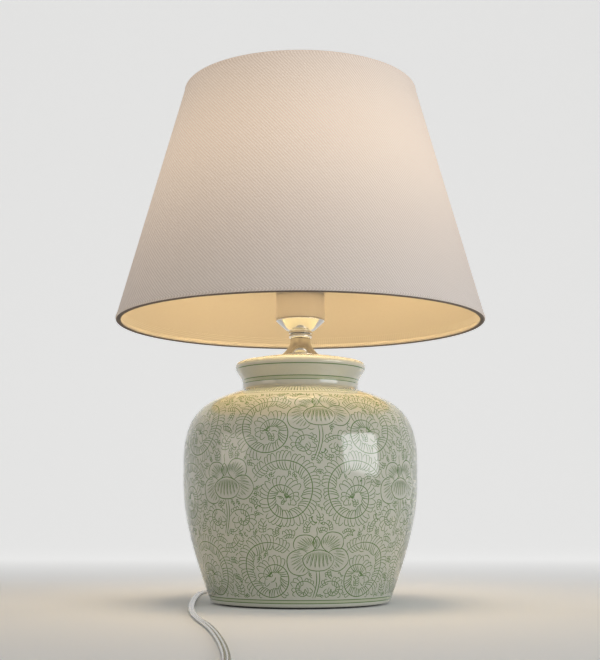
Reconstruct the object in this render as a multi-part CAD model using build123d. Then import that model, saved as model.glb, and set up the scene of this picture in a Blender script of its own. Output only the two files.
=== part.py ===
from build123d import *

import os
from math import asin, cos, pi, radians, sin, tan

# Ginger jar table lamp: glazed jar on a felt base, chrome stem, lampholder with bulb, cone shade, mains lead.
# Millimetres, +Z up. The origin is the centre of the felt base, on the table. -Y is the front.

# ---- jar ----
FELT_THICKNESS = 1.5
FELT_INSET = 5.1  # from the flat foot's outer edge
FOOT_RADIUS = 83.6  # where the foot's rounded edge meets the side
FOOT_EDGE_HEIGHT = 2.5
FOOT_RIM_WIDTH = 13.6  # round the recess
BELLY_RADIUS = 109.7
BELLY_HEIGHT = 132.0
NECK_BASE_RADIUS = 56.5  # where the shoulder meets the neck
NECK_BASE_HEIGHT = 196.6
NECK_RADIUS = 54.7
NECK_RISE = 6.9  # from the shoulder to where the neck starts to flare
LIP_RADIUS = 61.8
LIP_RISE = 14.9  # from there to the widest part of the lip
LIP_ROLL = 5.8  # width of the rounding from the lip to the dome
DOME_RISE = 12.0  # from the lip to the flat that the stem stands on
DOME_SEAT_MARGIN = 0.5  # of the flat round the stem
JAR_WALL = 5.5
FLOOR_TOP_HEIGHT = 30.0

# ---- stem, a hollow threaded rod clamps it all ----
ROD_RADIUS = 5.0
ROD_BORE_RADIUS = 3.6
ROD_HOLE_CLEARANCE = 0.3
ROD_LOWER_REACH = 8.0  # below the jar's floor
ROD_UPPER_REACH = 6.0  # above the cup's lip
NUT_FLATS = 14.0
NUT_HEIGHT = 3.0
WASHER_RADIUS = 17.0
WASHER_THICKNESS = 2.0
STEM_FOOT_RADIUS = 18.2
STEM_WAIST_RADIUS = 9.6
STEM_HEIGHT = 16.1
STEM_RIM_HEIGHT = 1.0
STEM_WAIST_LENGTH = 2.0
BEAD_RADIUS = 11.0
BEAD_HEIGHT = 5.3
CUP_NECK_RADIUS = 10.8
CUP_LIP_RADIUS = 23.3
CUP_HEIGHT = 13.2
CUP_WALL = 1.2
CUP_NECK_HEIGHT = 2.3
CUP_FLARE_HEIGHT = 1.5  # where the neck turns out into the cone
CUP_FLARE_WIDTH = 3.3
CUP_RIM_HEIGHT = 1.0
CUP_FLOOR = 1.5

# ---- lampholder ----
HOLDER_WALL = 2.0
HOLDER_CAP_HEIGHT = 24.0
HOLDER_FLOOR = 2.5
FLANGE_HEIGHT = 7.0
FLANGE_WIDTH = 3.5
COLLAR_HEIGHT = 22.0
SHELL_CLEARANCE = 0.4  # round the bulb's cap
SHELL_WALL = 0.6
SHELL_HEIGHT = 25.0
INSERT_HEIGHT = 9.0
INSERT_DISC_HEIGHT = 4.0
POST_WIDTH = 6.0
POST_DEPTH = 8.0
TERMINAL_SPACING = 17.0
TERMINAL_SCREW_RADIUS = 2.0
TERMINAL_SCREW_LENGTH = 1.6
SPRING_HEIGHT = 2.3
SPRING_CLEARANCE = 0.2
SPRING_THICKNESS = 0.6
SPRING_WIDTH = 5.0

# ---- bulb ----
BULB_CAP_RADIUS = 13.2
BULB_CAP_HEIGHT = 25.2
BULB_GLOBE_RADIUS = 30.0
BULB_LENGTH = 108.0
BULB_GLOBE_WALL = 1.2
BULB_HOUSING_HEIGHT = 38.0
BULB_HOLDER_GAP = 0.3  # between housing and holder with the bulb screwed home
BULB_CONTACT_RADIUS = 4.6
BULB_CONTACT_HEIGHT = 1.6
BULB_CONTACT_GAP = 0.1
BULB_CONTACT_RISE = 4.0  # from the contact's tip to where the cap's height is measured from
BULB_INSULATOR_HEIGHT = 3.4

# ---- shade ----
SHADE_BOTTOM_HEIGHT = 261.0
SHADE_TOP_HEIGHT = 492.0
SHADE_BOTTOM_RADIUS = 175.0
SHADE_TOP_RADIUS = 112.0
SKIN_THICKNESS = 0.5
BACKING_THICKNESS = 1.0
RING_WIRE_RADIUS = 1.5
HEM_RADIUS = 2.3
HEM_PROUD = 0.4
SPOKE_COUNT = 3
SPOKE_FIRST_ANGLE = 90.0
SPOKE_KNEE_HEIGHT = 33.0  # above the fitter ring
SPOKE_KNEE_RADIUS = 12.0
SPOKE_NUT_GAP = 1.4
FITTER_RIM_WIDTH = 3.0  # outside the spokes' centres
FITTER_THICKNESS = 2.0
FIT_GAP = 0.3  # running gap round the collar
RING_NUT_WIDTH = 6.0
RING_NUT_HEIGHT = 8.0
RING_NUT_GRIPS = 24
RING_NUT_GRIP_DEPTH = 0.6
RING_NUT_GRIP_RADIUS = 1.2
RING_NUT_RIM = 1.5  # below the grips

# ---- mains lead ----
LEAD_RADIUS = 2.7
LEAD_TABLE_GAP = 0.05
RELIEF_LENGTH = 22.0
RELIEF_SHOULDER = 3.0  # straight part outside the wall
RELIEF_GRIP = 4.0  # of the tail, closed on the lead
RELIEF_RADIUS = 5.2
RELIEF_TIP_RADIUS = 3.7
RELIEF_FLANGE_RADIUS = 7.0
RELIEF_FLANGE_THICKNESS = 2.0
RELIEF_SINK = 0.6  # of the flange and of the tail's root in the wall
BEND_SHARE = 0.45  # of the shorter run that an arc takes
COIL_CENTRE = (54.0, -628.0)
COIL_OUTER_RADIUS = 36.5
COIL_FULL_TURNS = 3  # and a quarter
COIL_GAP = 0.5
CORE_RADIUS = 1.1
CORE_GAP = 0.6  # between the two cores
CORE_STUB_SHARE = 0.32  # of the cores' height that runs straight up at each end
INNER_LEAD_PROUD = 0.6  # above the rod

# ---- switch on the lead ----
SWITCH_CENTRE = (-48.0, -623.0)
SWITCH_LENGTH = 62.0
SWITCH_WIDTH = 26.0
SWITCH_HEIGHT = 16.0
SWITCH_SPLIT_HEIGHT = 7.5
SWITCH_CORNER_RADIUS = 8.0
SWITCH_WALL = 2.0
SWITCH_BASE_ROUNDING = 1.5
SWITCH_TOP_ROUNDING = 3.0
SWITCH_ENTRY_DEPTH = 5.0
SWITCH_ENTRY_CLEARANCE = 0.05
ROCKER_REACH = 10.7
ROCKER_WIDTH = 11.4
ROCKER_PIVOT_DEPTH = 3.2  # below the housing's top
ROCKER_CENTRE_RISE = 2.7  # from the pivot to the hollow between the two halves
ROCKER_DROP = 3.4
ROCKER_EDGE = 0.6  # chamfer at its two ends
ROCKER_THROW = 14.0  # degrees from one half pressed to the other
ROCKER_GAP = 0.3
PIVOT_RADIUS = 1.2
PIVOT_CLEARANCE = 0.05
PIVOT_LENGTH = 1.8
LUG_THICKNESS = 2.2
LUG_LENGTH = 8.0
LUG_DROP = 3.0  # below the pivot
SCREW_HEAD_RADIUS = 2.6
SCREW_HEAD_HEIGHT = 1.4
SCREW_HEAD_RECESS = 0.6
SCREW_SHANK_RADIUS = 1.4
SCREW_REACH = 5.0  # into the cover
SCREW_END_MARGIN = 9.0
SCREW_SIDE_MARGIN = 6.2
POST_WALL = 1.4  # round a screw's head

# ---- plug ----
PLUG_LENGTH = 35.0
PLUG_WIDTH = 35.3
PLUG_HEIGHT = 13.7
PLUG_TAIL_WIDTH = 14.0
PLUG_TAIL_HEIGHT = 10.4
PIN_RADIUS = 2.0
PIN_ROOT_RADIUS = 1.6
PIN_END_ROUNDING = 1.2
PIN_LENGTH = 19.0
PIN_SPACING = 18.6
PIN_SEAT_DEPTH = 6.0

# ---- worked out ----
RECESS_RADIUS = FOOT_RADIUS - FOOT_RIM_WIDTH
FOOT_FLAT_RADIUS = FOOT_RADIUS - FOOT_EDGE_HEIGHT
FELT_RADIUS = FOOT_FLAT_RADIUS - FELT_INSET
NECK_HEIGHT = NECK_BASE_HEIGHT + NECK_RISE
LIP_HEIGHT = NECK_HEIGHT + LIP_RISE
DOME_SEAT_HEIGHT = LIP_HEIGHT + DOME_RISE
DOME_SEAT_RADIUS = STEM_FOOT_RADIUS + DOME_SEAT_MARGIN
ROD_HOLE_RADIUS = ROD_RADIUS + ROD_HOLE_CLEARANCE
FLOOR_BOTTOM_HEIGHT = FLOOR_TOP_HEIGHT - JAR_WALL
ROD_BOTTOM_HEIGHT = FLOOR_BOTTOM_HEIGHT - ROD_LOWER_REACH
STEM_TOP_HEIGHT = DOME_SEAT_HEIGHT + STEM_HEIGHT
CUP_BOTTOM_HEIGHT = STEM_TOP_HEIGHT + BEAD_HEIGHT
CUP_TOP_HEIGHT = CUP_BOTTOM_HEIGHT + CUP_HEIGHT
ROD_TOP_HEIGHT = CUP_TOP_HEIGHT + ROD_UPPER_REACH
FLANGE_BOTTOM_HEIGHT = CUP_TOP_HEIGHT + HOLDER_CAP_HEIGHT
SHOULDER_HEIGHT = FLANGE_BOTTOM_HEIGHT + FLANGE_HEIGHT
HOLDER_TOP_HEIGHT = SHOULDER_HEIGHT + COLLAR_HEIGHT
COLLAR_RADIUS = CUP_LIP_RADIUS - FLANGE_WIDTH
COLLAR_BORE_RADIUS = COLLAR_RADIUS - HOLDER_WALL - 1.0
SHELL_BORE_RADIUS = BULB_CAP_RADIUS + SHELL_CLEARANCE
BULB_SEAT_HEIGHT = HOLDER_TOP_HEIGHT - BULB_CAP_HEIGHT - BULB_CONTACT_RISE
INSERT_TOP_HEIGHT = BULB_SEAT_HEIGHT - SPRING_HEIGHT - SPRING_CLEARANCE
FITTER_BOTTOM_HEIGHT = SHOULDER_HEIGHT + FIT_GAP
FITTER_TOP_HEIGHT = FITTER_BOTTOM_HEIGHT + FITTER_THICKNESS
FITTER_BORE_RADIUS = COLLAR_RADIUS + 2 * FIT_GAP
RING_NUT_BORE_RADIUS = COLLAR_RADIUS + FIT_GAP
RING_NUT_RADIUS = RING_NUT_BORE_RADIUS + RING_NUT_WIDTH
SPOKE_FOOT_RADIUS = RING_NUT_RADIUS + SPOKE_NUT_GAP + RING_WIRE_RADIUS
FITTER_RADIUS = SPOKE_FOOT_RADIUS + FITTER_RIM_WIDTH
SHADE_SLOPE = (SHADE_BOTTOM_RADIUS - SHADE_TOP_RADIUS) / (SHADE_TOP_HEIGHT - SHADE_BOTTOM_HEIGHT)
LEAD_HEIGHT = LEAD_RADIUS + LEAD_TABLE_GAP
LEAD_EXIT_HEIGHT = FELT_THICKNESS + RELIEF_FLANGE_RADIUS
FOOT_REAR = FOOT_RADIUS - RELIEF_SINK  # where the strain relief's tail is measured from
COIL_TURNS = COIL_FULL_TURNS + 0.25
COIL_START_X = COIL_CENTRE[0] - COIL_OUTER_RADIUS
COIL_PITCH = 2 * LEAD_RADIUS + COIL_GAP
SWITCH_ENTRY_Y = SWITCH_CENTRE[1] + SWITCH_LENGTH / 2
SWITCH_EXIT_Y = SWITCH_CENTRE[1] - SWITCH_LENGTH / 2
ROCKER_PIVOT_HEIGHT = SWITCH_HEIGHT - ROCKER_PIVOT_DEPTH
COIL_TOP_Y = COIL_CENTRE[1] + COIL_OUTER_RADIUS
PLUG_AXIS_HEIGHT = PLUG_HEIGHT / 2

# The lead's route on the table, point by point. It leaves the jar at the back, comes round the left
# side and runs forward to the switch.
RUN_POINTS = [
    (0, FOOT_REAR + RELIEF_LENGTH, LEAD_EXIT_HEIGHT),
    (0, 126, LEAD_EXIT_HEIGHT),
    (-10, 149, 5.2),
    (-30, 168, LEAD_HEIGHT),
    (-56, 174, LEAD_HEIGHT),
    (-81, 168, LEAD_HEIGHT),
    (-98, 148, LEAD_HEIGHT),
    (-103, 112, LEAD_HEIGHT),
    (-102, 50, LEAD_HEIGHT),
    (-98, -28, LEAD_HEIGHT),
    (-92, -105, LEAD_HEIGHT),
    (-81, -182, LEAD_HEIGHT),
    (-65, -258, LEAD_HEIGHT),
    (-54, -330, LEAD_HEIGHT),
    (-45, -405, LEAD_HEIGHT),
    (-39, -476, LEAD_HEIGHT),
    (-41, -524, LEAD_HEIGHT),
    (-46, -552, 4.6),
    (-48, -573, SWITCH_SPLIT_HEIGHT),
    (-48, SWITCH_ENTRY_Y - SWITCH_ENTRY_DEPTH, SWITCH_SPLIT_HEIGHT),
]
# From the switch round to the coil.
LINK_POINTS = [
    (-48, SWITCH_EXIT_Y + SWITCH_ENTRY_DEPTH, SWITCH_SPLIT_HEIGHT),
    (-48, -667, SWITCH_SPLIT_HEIGHT),
    (-47.5, -687, 5.0),
    (-39.5, -703.5, LEAD_HEIGHT),
    (-24.5, -712.5, LEAD_HEIGHT),
    (-6.5, -713, LEAD_HEIGHT),
    (9, -704.5, LEAD_HEIGHT),
    (18.5, -689, LEAD_HEIGHT),
    (20, -670.5, LEAD_HEIGHT),
    (COIL_START_X, -651.5, LEAD_HEIGHT),
    (COIL_START_X, COIL_CENTRE[1] - 2 * LEAD_RADIUS, LEAD_HEIGHT),
]
# From the coil's upper layer to the plug's strain relief.
PLUG_RELIEF_START = 95.0
PLUG_Y = COIL_TOP_Y - 1.0
END_POINTS = [
    (COIL_CENTRE[0] + 2 * LEAD_RADIUS, COIL_TOP_Y, LEAD_HEIGHT + COIL_PITCH),
    (71, COIL_TOP_Y, LEAD_HEIGHT + COIL_PITCH),
    (83, PLUG_Y, PLUG_AXIS_HEIGHT),
    (PLUG_RELIEF_START, PLUG_Y, PLUG_AXIS_HEIGHT),
]


def outline_solid(*edges):
    """Turn a closed outline of edges in the XZ plane once round Z."""
    return revolve(make_face(Wire(edges)), Axis.Z)


def turned(*points):
    """Turn a closed polygon of (radius, height) once round Z."""
    return revolve(make_face(Polyline(*[(r, 0, z) for r, z in points], close=True)), Axis.Z)


def standing(radius, height):
    """Cylinder standing on its own origin."""
    return Cylinder(radius, height, align=(Align.CENTER, Align.CENTER, Align.MIN))


def disc(radius, bottom, top, bore=0.0):
    """A plain disc, washer or tube standing on the axis."""
    body = Pos(0, 0, bottom) * standing(radius, top - bottom)
    if bore:
        body -= Pos(0, 0, bottom) * standing(bore, top - bottom)
    return body


def hex_nut(bottom):
    """Hexagon nut on the rod."""
    nut = extrude(Pos(0, 0, bottom) * RegularPolygon(NUT_FLATS / 2, 6, major_radius=False), NUT_HEIGHT)
    return nut - disc(ROD_RADIUS, bottom, bottom + NUT_HEIGHT)


def bend_radii(points):
    """The largest arc that each corner's two runs allow."""
    steps = [Vector(*b) - Vector(*a) for a, b in zip(points, points[1:])]
    return [
        BEND_SHARE * min(a.length, b.length) / tan(radians(a.get_angle(b)) / 2)
        for a, b in zip(steps, steps[1:])
    ]


def lead_tube(name, points):
    """Round tube along straight runs joined by tangent arcs. It prints its tightest arc."""
    radii = bend_radii(points)
    path = FilletPolyline(*points, radius=radii)
    tube = sweep(Plane(origin=path @ 0, z_dir=path % 0) * Circle(LEAD_RADIUS), path=path)
    ratio = tube.volume / (pi * LEAD_RADIUS**2 * path.length)
    print(f"{name}: length {path.length:.1f}, least radius {min(radii):.1f}, volume ratio {ratio:.4f}")
    return tube, path.length


def biarc(start, start_way, end, end_way):
    """Two tangent arcs from start to end that keep both directions."""
    gap = end - start
    ways = start_way + end_way
    a = 2 * (1 - start_way.dot(end_way))
    b = 2 * gap.dot(ways)
    reach = (-b + (b * b + 4 * a * gap.dot(gap)) ** 0.5) / (2 * a)
    middle = (start + end + (start_way - end_way) * reach) / 2
    first = TangentArc(start, middle, tangent=start_way)
    return [first, TangentArc(middle, end, tangent=first % 1)]


def coil_place(turn):
    """A point of the coil's centre line and its direction: in on the lower layer, out on the upper."""
    half = COIL_TURNS / 2

    def at(value):
        radius = COIL_OUTER_RADIUS - COIL_PITCH * (half - abs(half - value))
        climbed = min(max((value - half) * 2 + 0.5, 0), 1)
        angle = pi - 2 * pi * value
        return Vector(
            COIL_CENTRE[0] + radius * cos(angle),
            COIL_CENTRE[1] + radius * sin(angle),
            LEAD_HEIGHT + COIL_PITCH * climbed * climbed * (3 - 2 * climbed),
        )

    step = 1e-4
    low, high = max(turn - step, 0), min(turn + step, COIL_TURNS)
    return at(turn), (at(high) - at(low)).normalized()


def coil_tube():
    """The put-away lead as one unbroken tube. It prints its least gap to itself."""
    quarters = round(COIL_TURNS * 4)
    places = [coil_place(i / 4) for i in range(quarters + 1)]
    places[0] = (places[0][0], Vector(0, 1, 0))
    places[-1] = (places[-1][0], Vector(1, 0, 0))
    edges = [Line(places[0][0] - Vector(0, 2 * LEAD_RADIUS, 0), places[0][0])]
    for (start, start_way), (end, end_way) in zip(places, places[1:]):
        edges += biarc(start, start_way, end, end_way)
    edges.append(Line(places[-1][0], places[-1][0] + Vector(2 * LEAD_RADIUS, 0, 0)))
    path = Wire(edges)
    tube = sweep(Plane(origin=path @ 0, z_dir=path % 0) * Circle(LEAD_RADIUS), path=path)
    length = sum(edge.length for edge in edges)
    samples = [(edge @ t, i + t) for i, edge in enumerate(edges) for t in (0, 0.17, 0.33, 0.5, 0.67, 0.83)]
    least = min(
        (p - q).length for p, i in samples for q, j in samples if j - i > 3
    )
    print(f"coil: length {length:.1f}, least gap {least - 2 * LEAD_RADIUS:.2f}")
    return tube, length


def jar_curves(inset=0.0):
    """The jar's side from the foot up to the stem's seat, as joined curves, drawn in by inset."""
    foot_top = FELT_THICKNESS + FOOT_EDGE_HEIGHT
    foot, belly, neck_base = FOOT_RADIUS - inset, BELLY_RADIUS - inset, NECK_BASE_RADIUS - inset
    neck, lip, seat = NECK_RADIUS - inset, LIP_RADIUS - inset, DOME_SEAT_HEIGHT - inset
    shoulder = NECK_BASE_HEIGHT - inset
    rise, neck_rise, flare = shoulder - BELLY_HEIGHT, NECK_HEIGHT - shoulder, LIP_HEIGHT - NECK_HEIGHT
    dome = seat - LIP_HEIGHT
    roll_end = (lip - LIP_ROLL, 0, LIP_HEIGHT + 0.467 * dome)
    return [
        Bezier(
            (foot, 0, foot_top),
            (belly, 0, foot_top + 0.545 * (BELLY_HEIGHT - foot_top)),
            (belly, 0, foot_top + 0.69 * (BELLY_HEIGHT - foot_top)),
            (belly, 0, BELLY_HEIGHT),
        ),
        Bezier(
            (belly, 0, BELLY_HEIGHT),
            (belly, 0, BELLY_HEIGHT + 0.72 * rise),
            (neck_base + 0.545 * (belly - neck_base), 0, shoulder - 0.141 * rise),
            (neck_base, 0, shoulder),
        ),
        Bezier(
            (neck_base, 0, shoulder),
            (neck + 0.17 * (neck_base - neck), 0, shoulder + 0.145 * neck_rise),
            (neck, 0, shoulder + 0.29 * neck_rise),
            (neck, 0, NECK_HEIGHT),
        ),
        Bezier(
            (neck, 0, NECK_HEIGHT),
            (neck, 0, NECK_HEIGHT + 0.3 * flare),
            (lip - 0.11 * (lip - neck), 0, LIP_HEIGHT - 0.31 * flare),
            (lip, 0, LIP_HEIGHT),
        ),
        Bezier(
            (lip, 0, LIP_HEIGHT),
            (lip, 0, LIP_HEIGHT + 0.242 * dome),
            (lip - 0.2 * LIP_ROLL, 0, LIP_HEIGHT + 0.38 * dome),
            roll_end,
        ),
        Bezier(
            roll_end,
            (lip - 2.4 * LIP_ROLL, 0, LIP_HEIGHT + 0.62 * dome),
            (DOME_SEAT_RADIUS + 14.3, 0, LIP_HEIGHT + 0.833 * dome),
            (DOME_SEAT_RADIUS, 0, seat),
        ),
    ]


def make_jar():
    """Slip-cast shell with a closed dome, a floor over a recess and the lead's hole at the back."""
    foot_top = FELT_THICKNESS + FOOT_EDGE_HEIGHT
    outside = outline_solid(
        Line((0, 0, FELT_THICKNESS), (FOOT_FLAT_RADIUS, 0, FELT_THICKNESS)),
        TangentArc(
            Vector(FOOT_FLAT_RADIUS, 0, FELT_THICKNESS),
            Vector(FOOT_RADIUS, 0, foot_top),
            tangent=Vector(1, 0, 0),
        ),
        *jar_curves(),
        Line((DOME_SEAT_RADIUS, 0, DOME_SEAT_HEIGHT), (0, 0, DOME_SEAT_HEIGHT)),
        Line((0, 0, DOME_SEAT_HEIGHT), (0, 0, FELT_THICKNESS)),
    )
    ceiling = DOME_SEAT_HEIGHT - JAR_WALL
    hollow = outline_solid(
        Line((0, 0, foot_top), (FOOT_RADIUS - JAR_WALL, 0, foot_top)),
        *jar_curves(JAR_WALL),
        Line((DOME_SEAT_RADIUS, 0, ceiling), (0, 0, ceiling)),
        Line((0, 0, ceiling), (0, 0, foot_top)),
    ) - disc(2 * BELLY_RADIUS, 0, FLOOR_TOP_HEIGHT)
    recess = disc(RECESS_RADIUS, FELT_THICKNESS, FLOOR_BOTTOM_HEIGHT)
    rod_hole = disc(ROD_HOLE_RADIUS, FELT_THICKNESS, DOME_SEAT_HEIGHT)
    lead_hole = Pos(0, RECESS_RADIUS - JAR_WALL, LEAD_EXIT_HEIGHT) * Rot(-90, 0, 0)
    lead_hole *= standing(RELIEF_RADIUS, FOOT_RADIUS)
    return outside - hollow - recess - rod_hole - lead_hole


def make_relief():
    """Rubber strain relief: a flange inside the foot, a plug through the wall and a tapered tail."""
    start = RECESS_RADIUS - RELIEF_FLANGE_THICKNESS
    tip = FOOT_REAR + RELIEF_LENGTH
    shape = Polyline(
        (0, start, 0), (RELIEF_FLANGE_RADIUS, start, 0),
        (RELIEF_FLANGE_RADIUS, RECESS_RADIUS - RELIEF_SINK, 0), (RELIEF_RADIUS, RECESS_RADIUS - RELIEF_SINK, 0),
        (RELIEF_RADIUS, FOOT_REAR + RELIEF_SHOULDER, 0), (RELIEF_TIP_RADIUS, tip, 0), (0, tip, 0), close=True,
    )
    body = Pos(0, 0, LEAD_EXIT_HEIGHT) * revolve(make_face(shape), Axis.Y)
    bore = Pos(0, start, LEAD_EXIT_HEIGHT) * Rot(-90, 0, 0) * standing(LEAD_RADIUS, tip - start - RELIEF_GRIP)
    return body - bore


def make_stem_foot():
    """Trumpet foot turned from brass, bored for the rod."""
    seat, top = DOME_SEAT_HEIGHT, STEM_TOP_HEIGHT
    rim_top, waist_top = seat + STEM_RIM_HEIGHT, top - STEM_WAIST_LENGTH
    flare_width = STEM_FOOT_RADIUS - STEM_WAIST_RADIUS
    flare = Bezier(
        (STEM_FOOT_RADIUS, 0, rim_top),
        (STEM_FOOT_RADIUS - 0.31 * flare_width, 0, seat + 0.19 * STEM_HEIGHT),
        (STEM_WAIST_RADIUS + 0.09 * flare_width, 0, seat + 0.47 * STEM_HEIGHT),
        (STEM_WAIST_RADIUS, 0, waist_top),
    )
    return outline_solid(
        Line((ROD_HOLE_RADIUS, 0, seat), (STEM_FOOT_RADIUS, 0, seat)),
        Line((STEM_FOOT_RADIUS, 0, seat), (STEM_FOOT_RADIUS, 0, rim_top)),
        flare,
        Line((STEM_WAIST_RADIUS, 0, waist_top), (STEM_WAIST_RADIUS, 0, top)),
        Line((STEM_WAIST_RADIUS, 0, top), (ROD_HOLE_RADIUS, 0, top)),
        Line((ROD_HOLE_RADIUS, 0, top), (ROD_HOLE_RADIUS, 0, seat)),
    )


def make_bead():
    """Rounded ring between stem and cup."""
    bottom, top = STEM_TOP_HEIGHT, CUP_BOTTOM_HEIGHT
    edge = BEAD_RADIUS - BEAD_HEIGHT / 2
    return outline_solid(
        Line((ROD_HOLE_RADIUS, 0, bottom), (edge, 0, bottom)),
        ThreePointArc((edge, 0, bottom), (BEAD_RADIUS, 0, (bottom + top) / 2), (edge, 0, top)),
        Line((edge, 0, top), (ROD_HOLE_RADIUS, 0, top)),
        Line((ROD_HOLE_RADIUS, 0, top), (ROD_HOLE_RADIUS, 0, bottom)),
    )


def make_cup():
    """Spun cup that opens out under the lampholder."""
    bottom, top = CUP_BOTTOM_HEIGHT, CUP_TOP_HEIGHT
    neck, lip, wall = CUP_NECK_RADIUS, CUP_LIP_RADIUS, CUP_WALL
    flare = neck + CUP_FLARE_WIDTH
    neck_top = bottom + CUP_NECK_HEIGHT
    flare_top = neck_top + CUP_FLARE_HEIGHT
    rim = top - CUP_RIM_HEIGHT
    return turned(
        (ROD_HOLE_RADIUS, bottom), (neck, bottom), (neck, neck_top), (flare, flare_top),
        (lip, rim), (lip, top), (lip - wall, top), (lip - wall, rim + wall / 3),
        (flare - wall, flare_top + wall), (neck - wall, neck_top + wall / 2),
        (neck - wall, bottom + CUP_FLOOR), (ROD_HOLE_RADIUS, bottom + CUP_FLOOR),
    )


def make_holder_cap():
    """Lower shell of the lampholder, seated in the cup and screwed on the rod."""
    bottom, top, radius = CUP_TOP_HEIGHT, FLANGE_BOTTOM_HEIGHT, CUP_LIP_RADIUS
    return turned(
        (ROD_RADIUS, bottom), (radius - 1.0, bottom), (radius, bottom + 1.0), (radius, top),
        (radius - HOLDER_WALL, top), (radius - HOLDER_WALL, bottom + HOLDER_FLOOR),
        (ROD_RADIUS, bottom + HOLDER_FLOOR),
    )


def make_holder_skirt():
    """Upper shell: a flange that the shade rests on and the threaded collar for its ring."""
    wall, top = HOLDER_WALL, HOLDER_TOP_HEIGHT
    return turned(
        (CUP_LIP_RADIUS - wall, FLANGE_BOTTOM_HEIGHT), (CUP_LIP_RADIUS, FLANGE_BOTTOM_HEIGHT),
        (CUP_LIP_RADIUS, SHOULDER_HEIGHT), (COLLAR_RADIUS, SHOULDER_HEIGHT),
        (COLLAR_RADIUS, top - 1.0), (COLLAR_RADIUS - 1.0, top), (COLLAR_BORE_RADIUS, top),
        (COLLAR_BORE_RADIUS, SHOULDER_HEIGHT - wall), (CUP_LIP_RADIUS - wall, SHOULDER_HEIGHT - wall),
    )


def make_insert():
    """Insulating core that carries the contacts, with two posts for the terminal screws."""
    top = INSERT_TOP_HEIGHT
    core = disc(COLLAR_BORE_RADIUS, top - INSERT_DISC_HEIGHT, top)
    post_height = INSERT_HEIGHT - INSERT_DISC_HEIGHT
    posts = [
        Pos(side * TERMINAL_SPACING / 2, 0, top - INSERT_HEIGHT)
        * Box(POST_WIDTH, POST_DEPTH, post_height, align=(Align.CENTER, Align.CENTER, Align.MIN))
        for side in (-1, 1)
    ]
    return core + posts


def make_terminal_screws():
    """Two screws in the outer faces of the posts."""
    height = INSERT_TOP_HEIGHT - INSERT_HEIGHT + TERMINAL_SCREW_RADIUS + 0.5
    return Compound(children=[
        Pos(side * (TERMINAL_SPACING + POST_WIDTH) / 2, 0, height) * Rot(0, side * 90, 0)
        * standing(TERMINAL_SCREW_RADIUS, TERMINAL_SCREW_LENGTH)
        for side in (-1, 1)
    ])


def make_screw_shell():
    """Threaded shell that takes the bulb's cap, standing on the insert."""
    bottom = INSERT_TOP_HEIGHT
    return disc(SHELL_BORE_RADIUS + SHELL_WALL, bottom, bottom + SHELL_HEIGHT, SHELL_BORE_RADIUS)


def make_centre_spring():
    """Sprung tongue under the bulb's contact."""
    low, high, thick = INSERT_TOP_HEIGHT, INSERT_TOP_HEIGHT + SPRING_HEIGHT, SPRING_THICKNESS
    profile = Polyline(
        (-9, 0, low), (-9, 0, low + thick), (-6, 0, low + thick), (-2, 0, high), (3, 0, high),
        (3, 0, high - thick), (-1.7, 0, high - thick), (-5.7, 0, low), close=True,
    )
    return Pos(0, SPRING_WIDTH / 2, 0) * extrude(make_face(profile), SPRING_WIDTH, dir=(0, -1, 0))


def make_bulb():
    """The bulb's pieces, bottom to top. The contact is a body of its own: it slides, the rest turns."""
    seat, tip = BULB_SEAT_HEIGHT, BULB_CONTACT_RADIUS
    contact_top = seat + BULB_CONTACT_HEIGHT
    contact = turned(
        (0, seat), (tip - 1.1, seat), (tip, contact_top - 0.4), (tip, contact_top), (0, contact_top)
    )
    base = contact_top + BULB_CONTACT_GAP
    cap_bottom = base + BULB_INSULATOR_HEIGHT
    housing_bottom = HOLDER_TOP_HEIGHT + BULB_HOLDER_GAP
    insulator = turned((0, base), (tip + 0.6, base), (BULB_CAP_RADIUS - 1.6, cap_bottom), (0, cap_bottom))
    cap = disc(BULB_CAP_RADIUS, cap_bottom, housing_bottom, BULB_CAP_RADIUS - 0.8)
    equator = seat + BULB_LENGTH - BULB_GLOBE_RADIUS
    housing_top = housing_bottom + BULB_HOUSING_HEIGHT
    drop = equator - housing_top
    rim = (BULB_GLOBE_RADIUS**2 - drop**2) ** 0.5
    root = BULB_CAP_RADIUS + 0.6
    housing = outline_solid(
        Line((0, 0, housing_bottom), (root, 0, housing_bottom)),
        Bezier(
            (root, 0, housing_bottom),
            (root + 1.4, 0, housing_bottom + 0.4 * BULB_HOUSING_HEIGHT),
            (rim - 0.42 * BULB_HOUSING_HEIGHT * drop / rim, 0, housing_top - 0.42 * BULB_HOUSING_HEIGHT),
            (rim, 0, housing_top),
        ),
        Line((rim, 0, housing_top), (0, 0, housing_top)),
        Line((0, 0, housing_top), (0, 0, housing_bottom)),
    )

    def dome(radius):
        """Arc from the housing's rim up to the crown, and its lower end."""
        low = -asin(drop / radius)
        middle = (low + pi / 2) / 2
        start = (radius * cos(low), 0, housing_top)
        over = (radius * cos(middle), 0, equator + radius * sin(middle))
        return ThreePointArc(start, over, (0, 0, equator + radius)), start

    outer, outer_end = dome(BULB_GLOBE_RADIUS)
    inner, inner_end = dome(BULB_GLOBE_RADIUS - BULB_GLOBE_WALL)
    globe = outline_solid(outer, Line(outer @ 1, inner @ 1), inner, Line(inner_end, outer_end))
    return {
        "bulb_contact": contact,
        "bulb_insulator": insulator,
        "bulb_cap": cap,
        "bulb_housing": housing,
        "bulb_globe": globe,
    }


def shade_radius(height):
    """Outer radius of the cloth at a height."""
    return SHADE_BOTTOM_RADIUS - SHADE_SLOPE * (height - SHADE_BOTTOM_HEIGHT)


def cone_shell(bottom, top, inset, thickness):
    """Part of the shade's wall, inset from its outer face."""
    return turned(
        (shade_radius(bottom) - inset, bottom), (shade_radius(top) - inset, top),
        (shade_radius(top) - inset - thickness, top), (shade_radius(bottom) - inset - thickness, bottom),
    )


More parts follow.
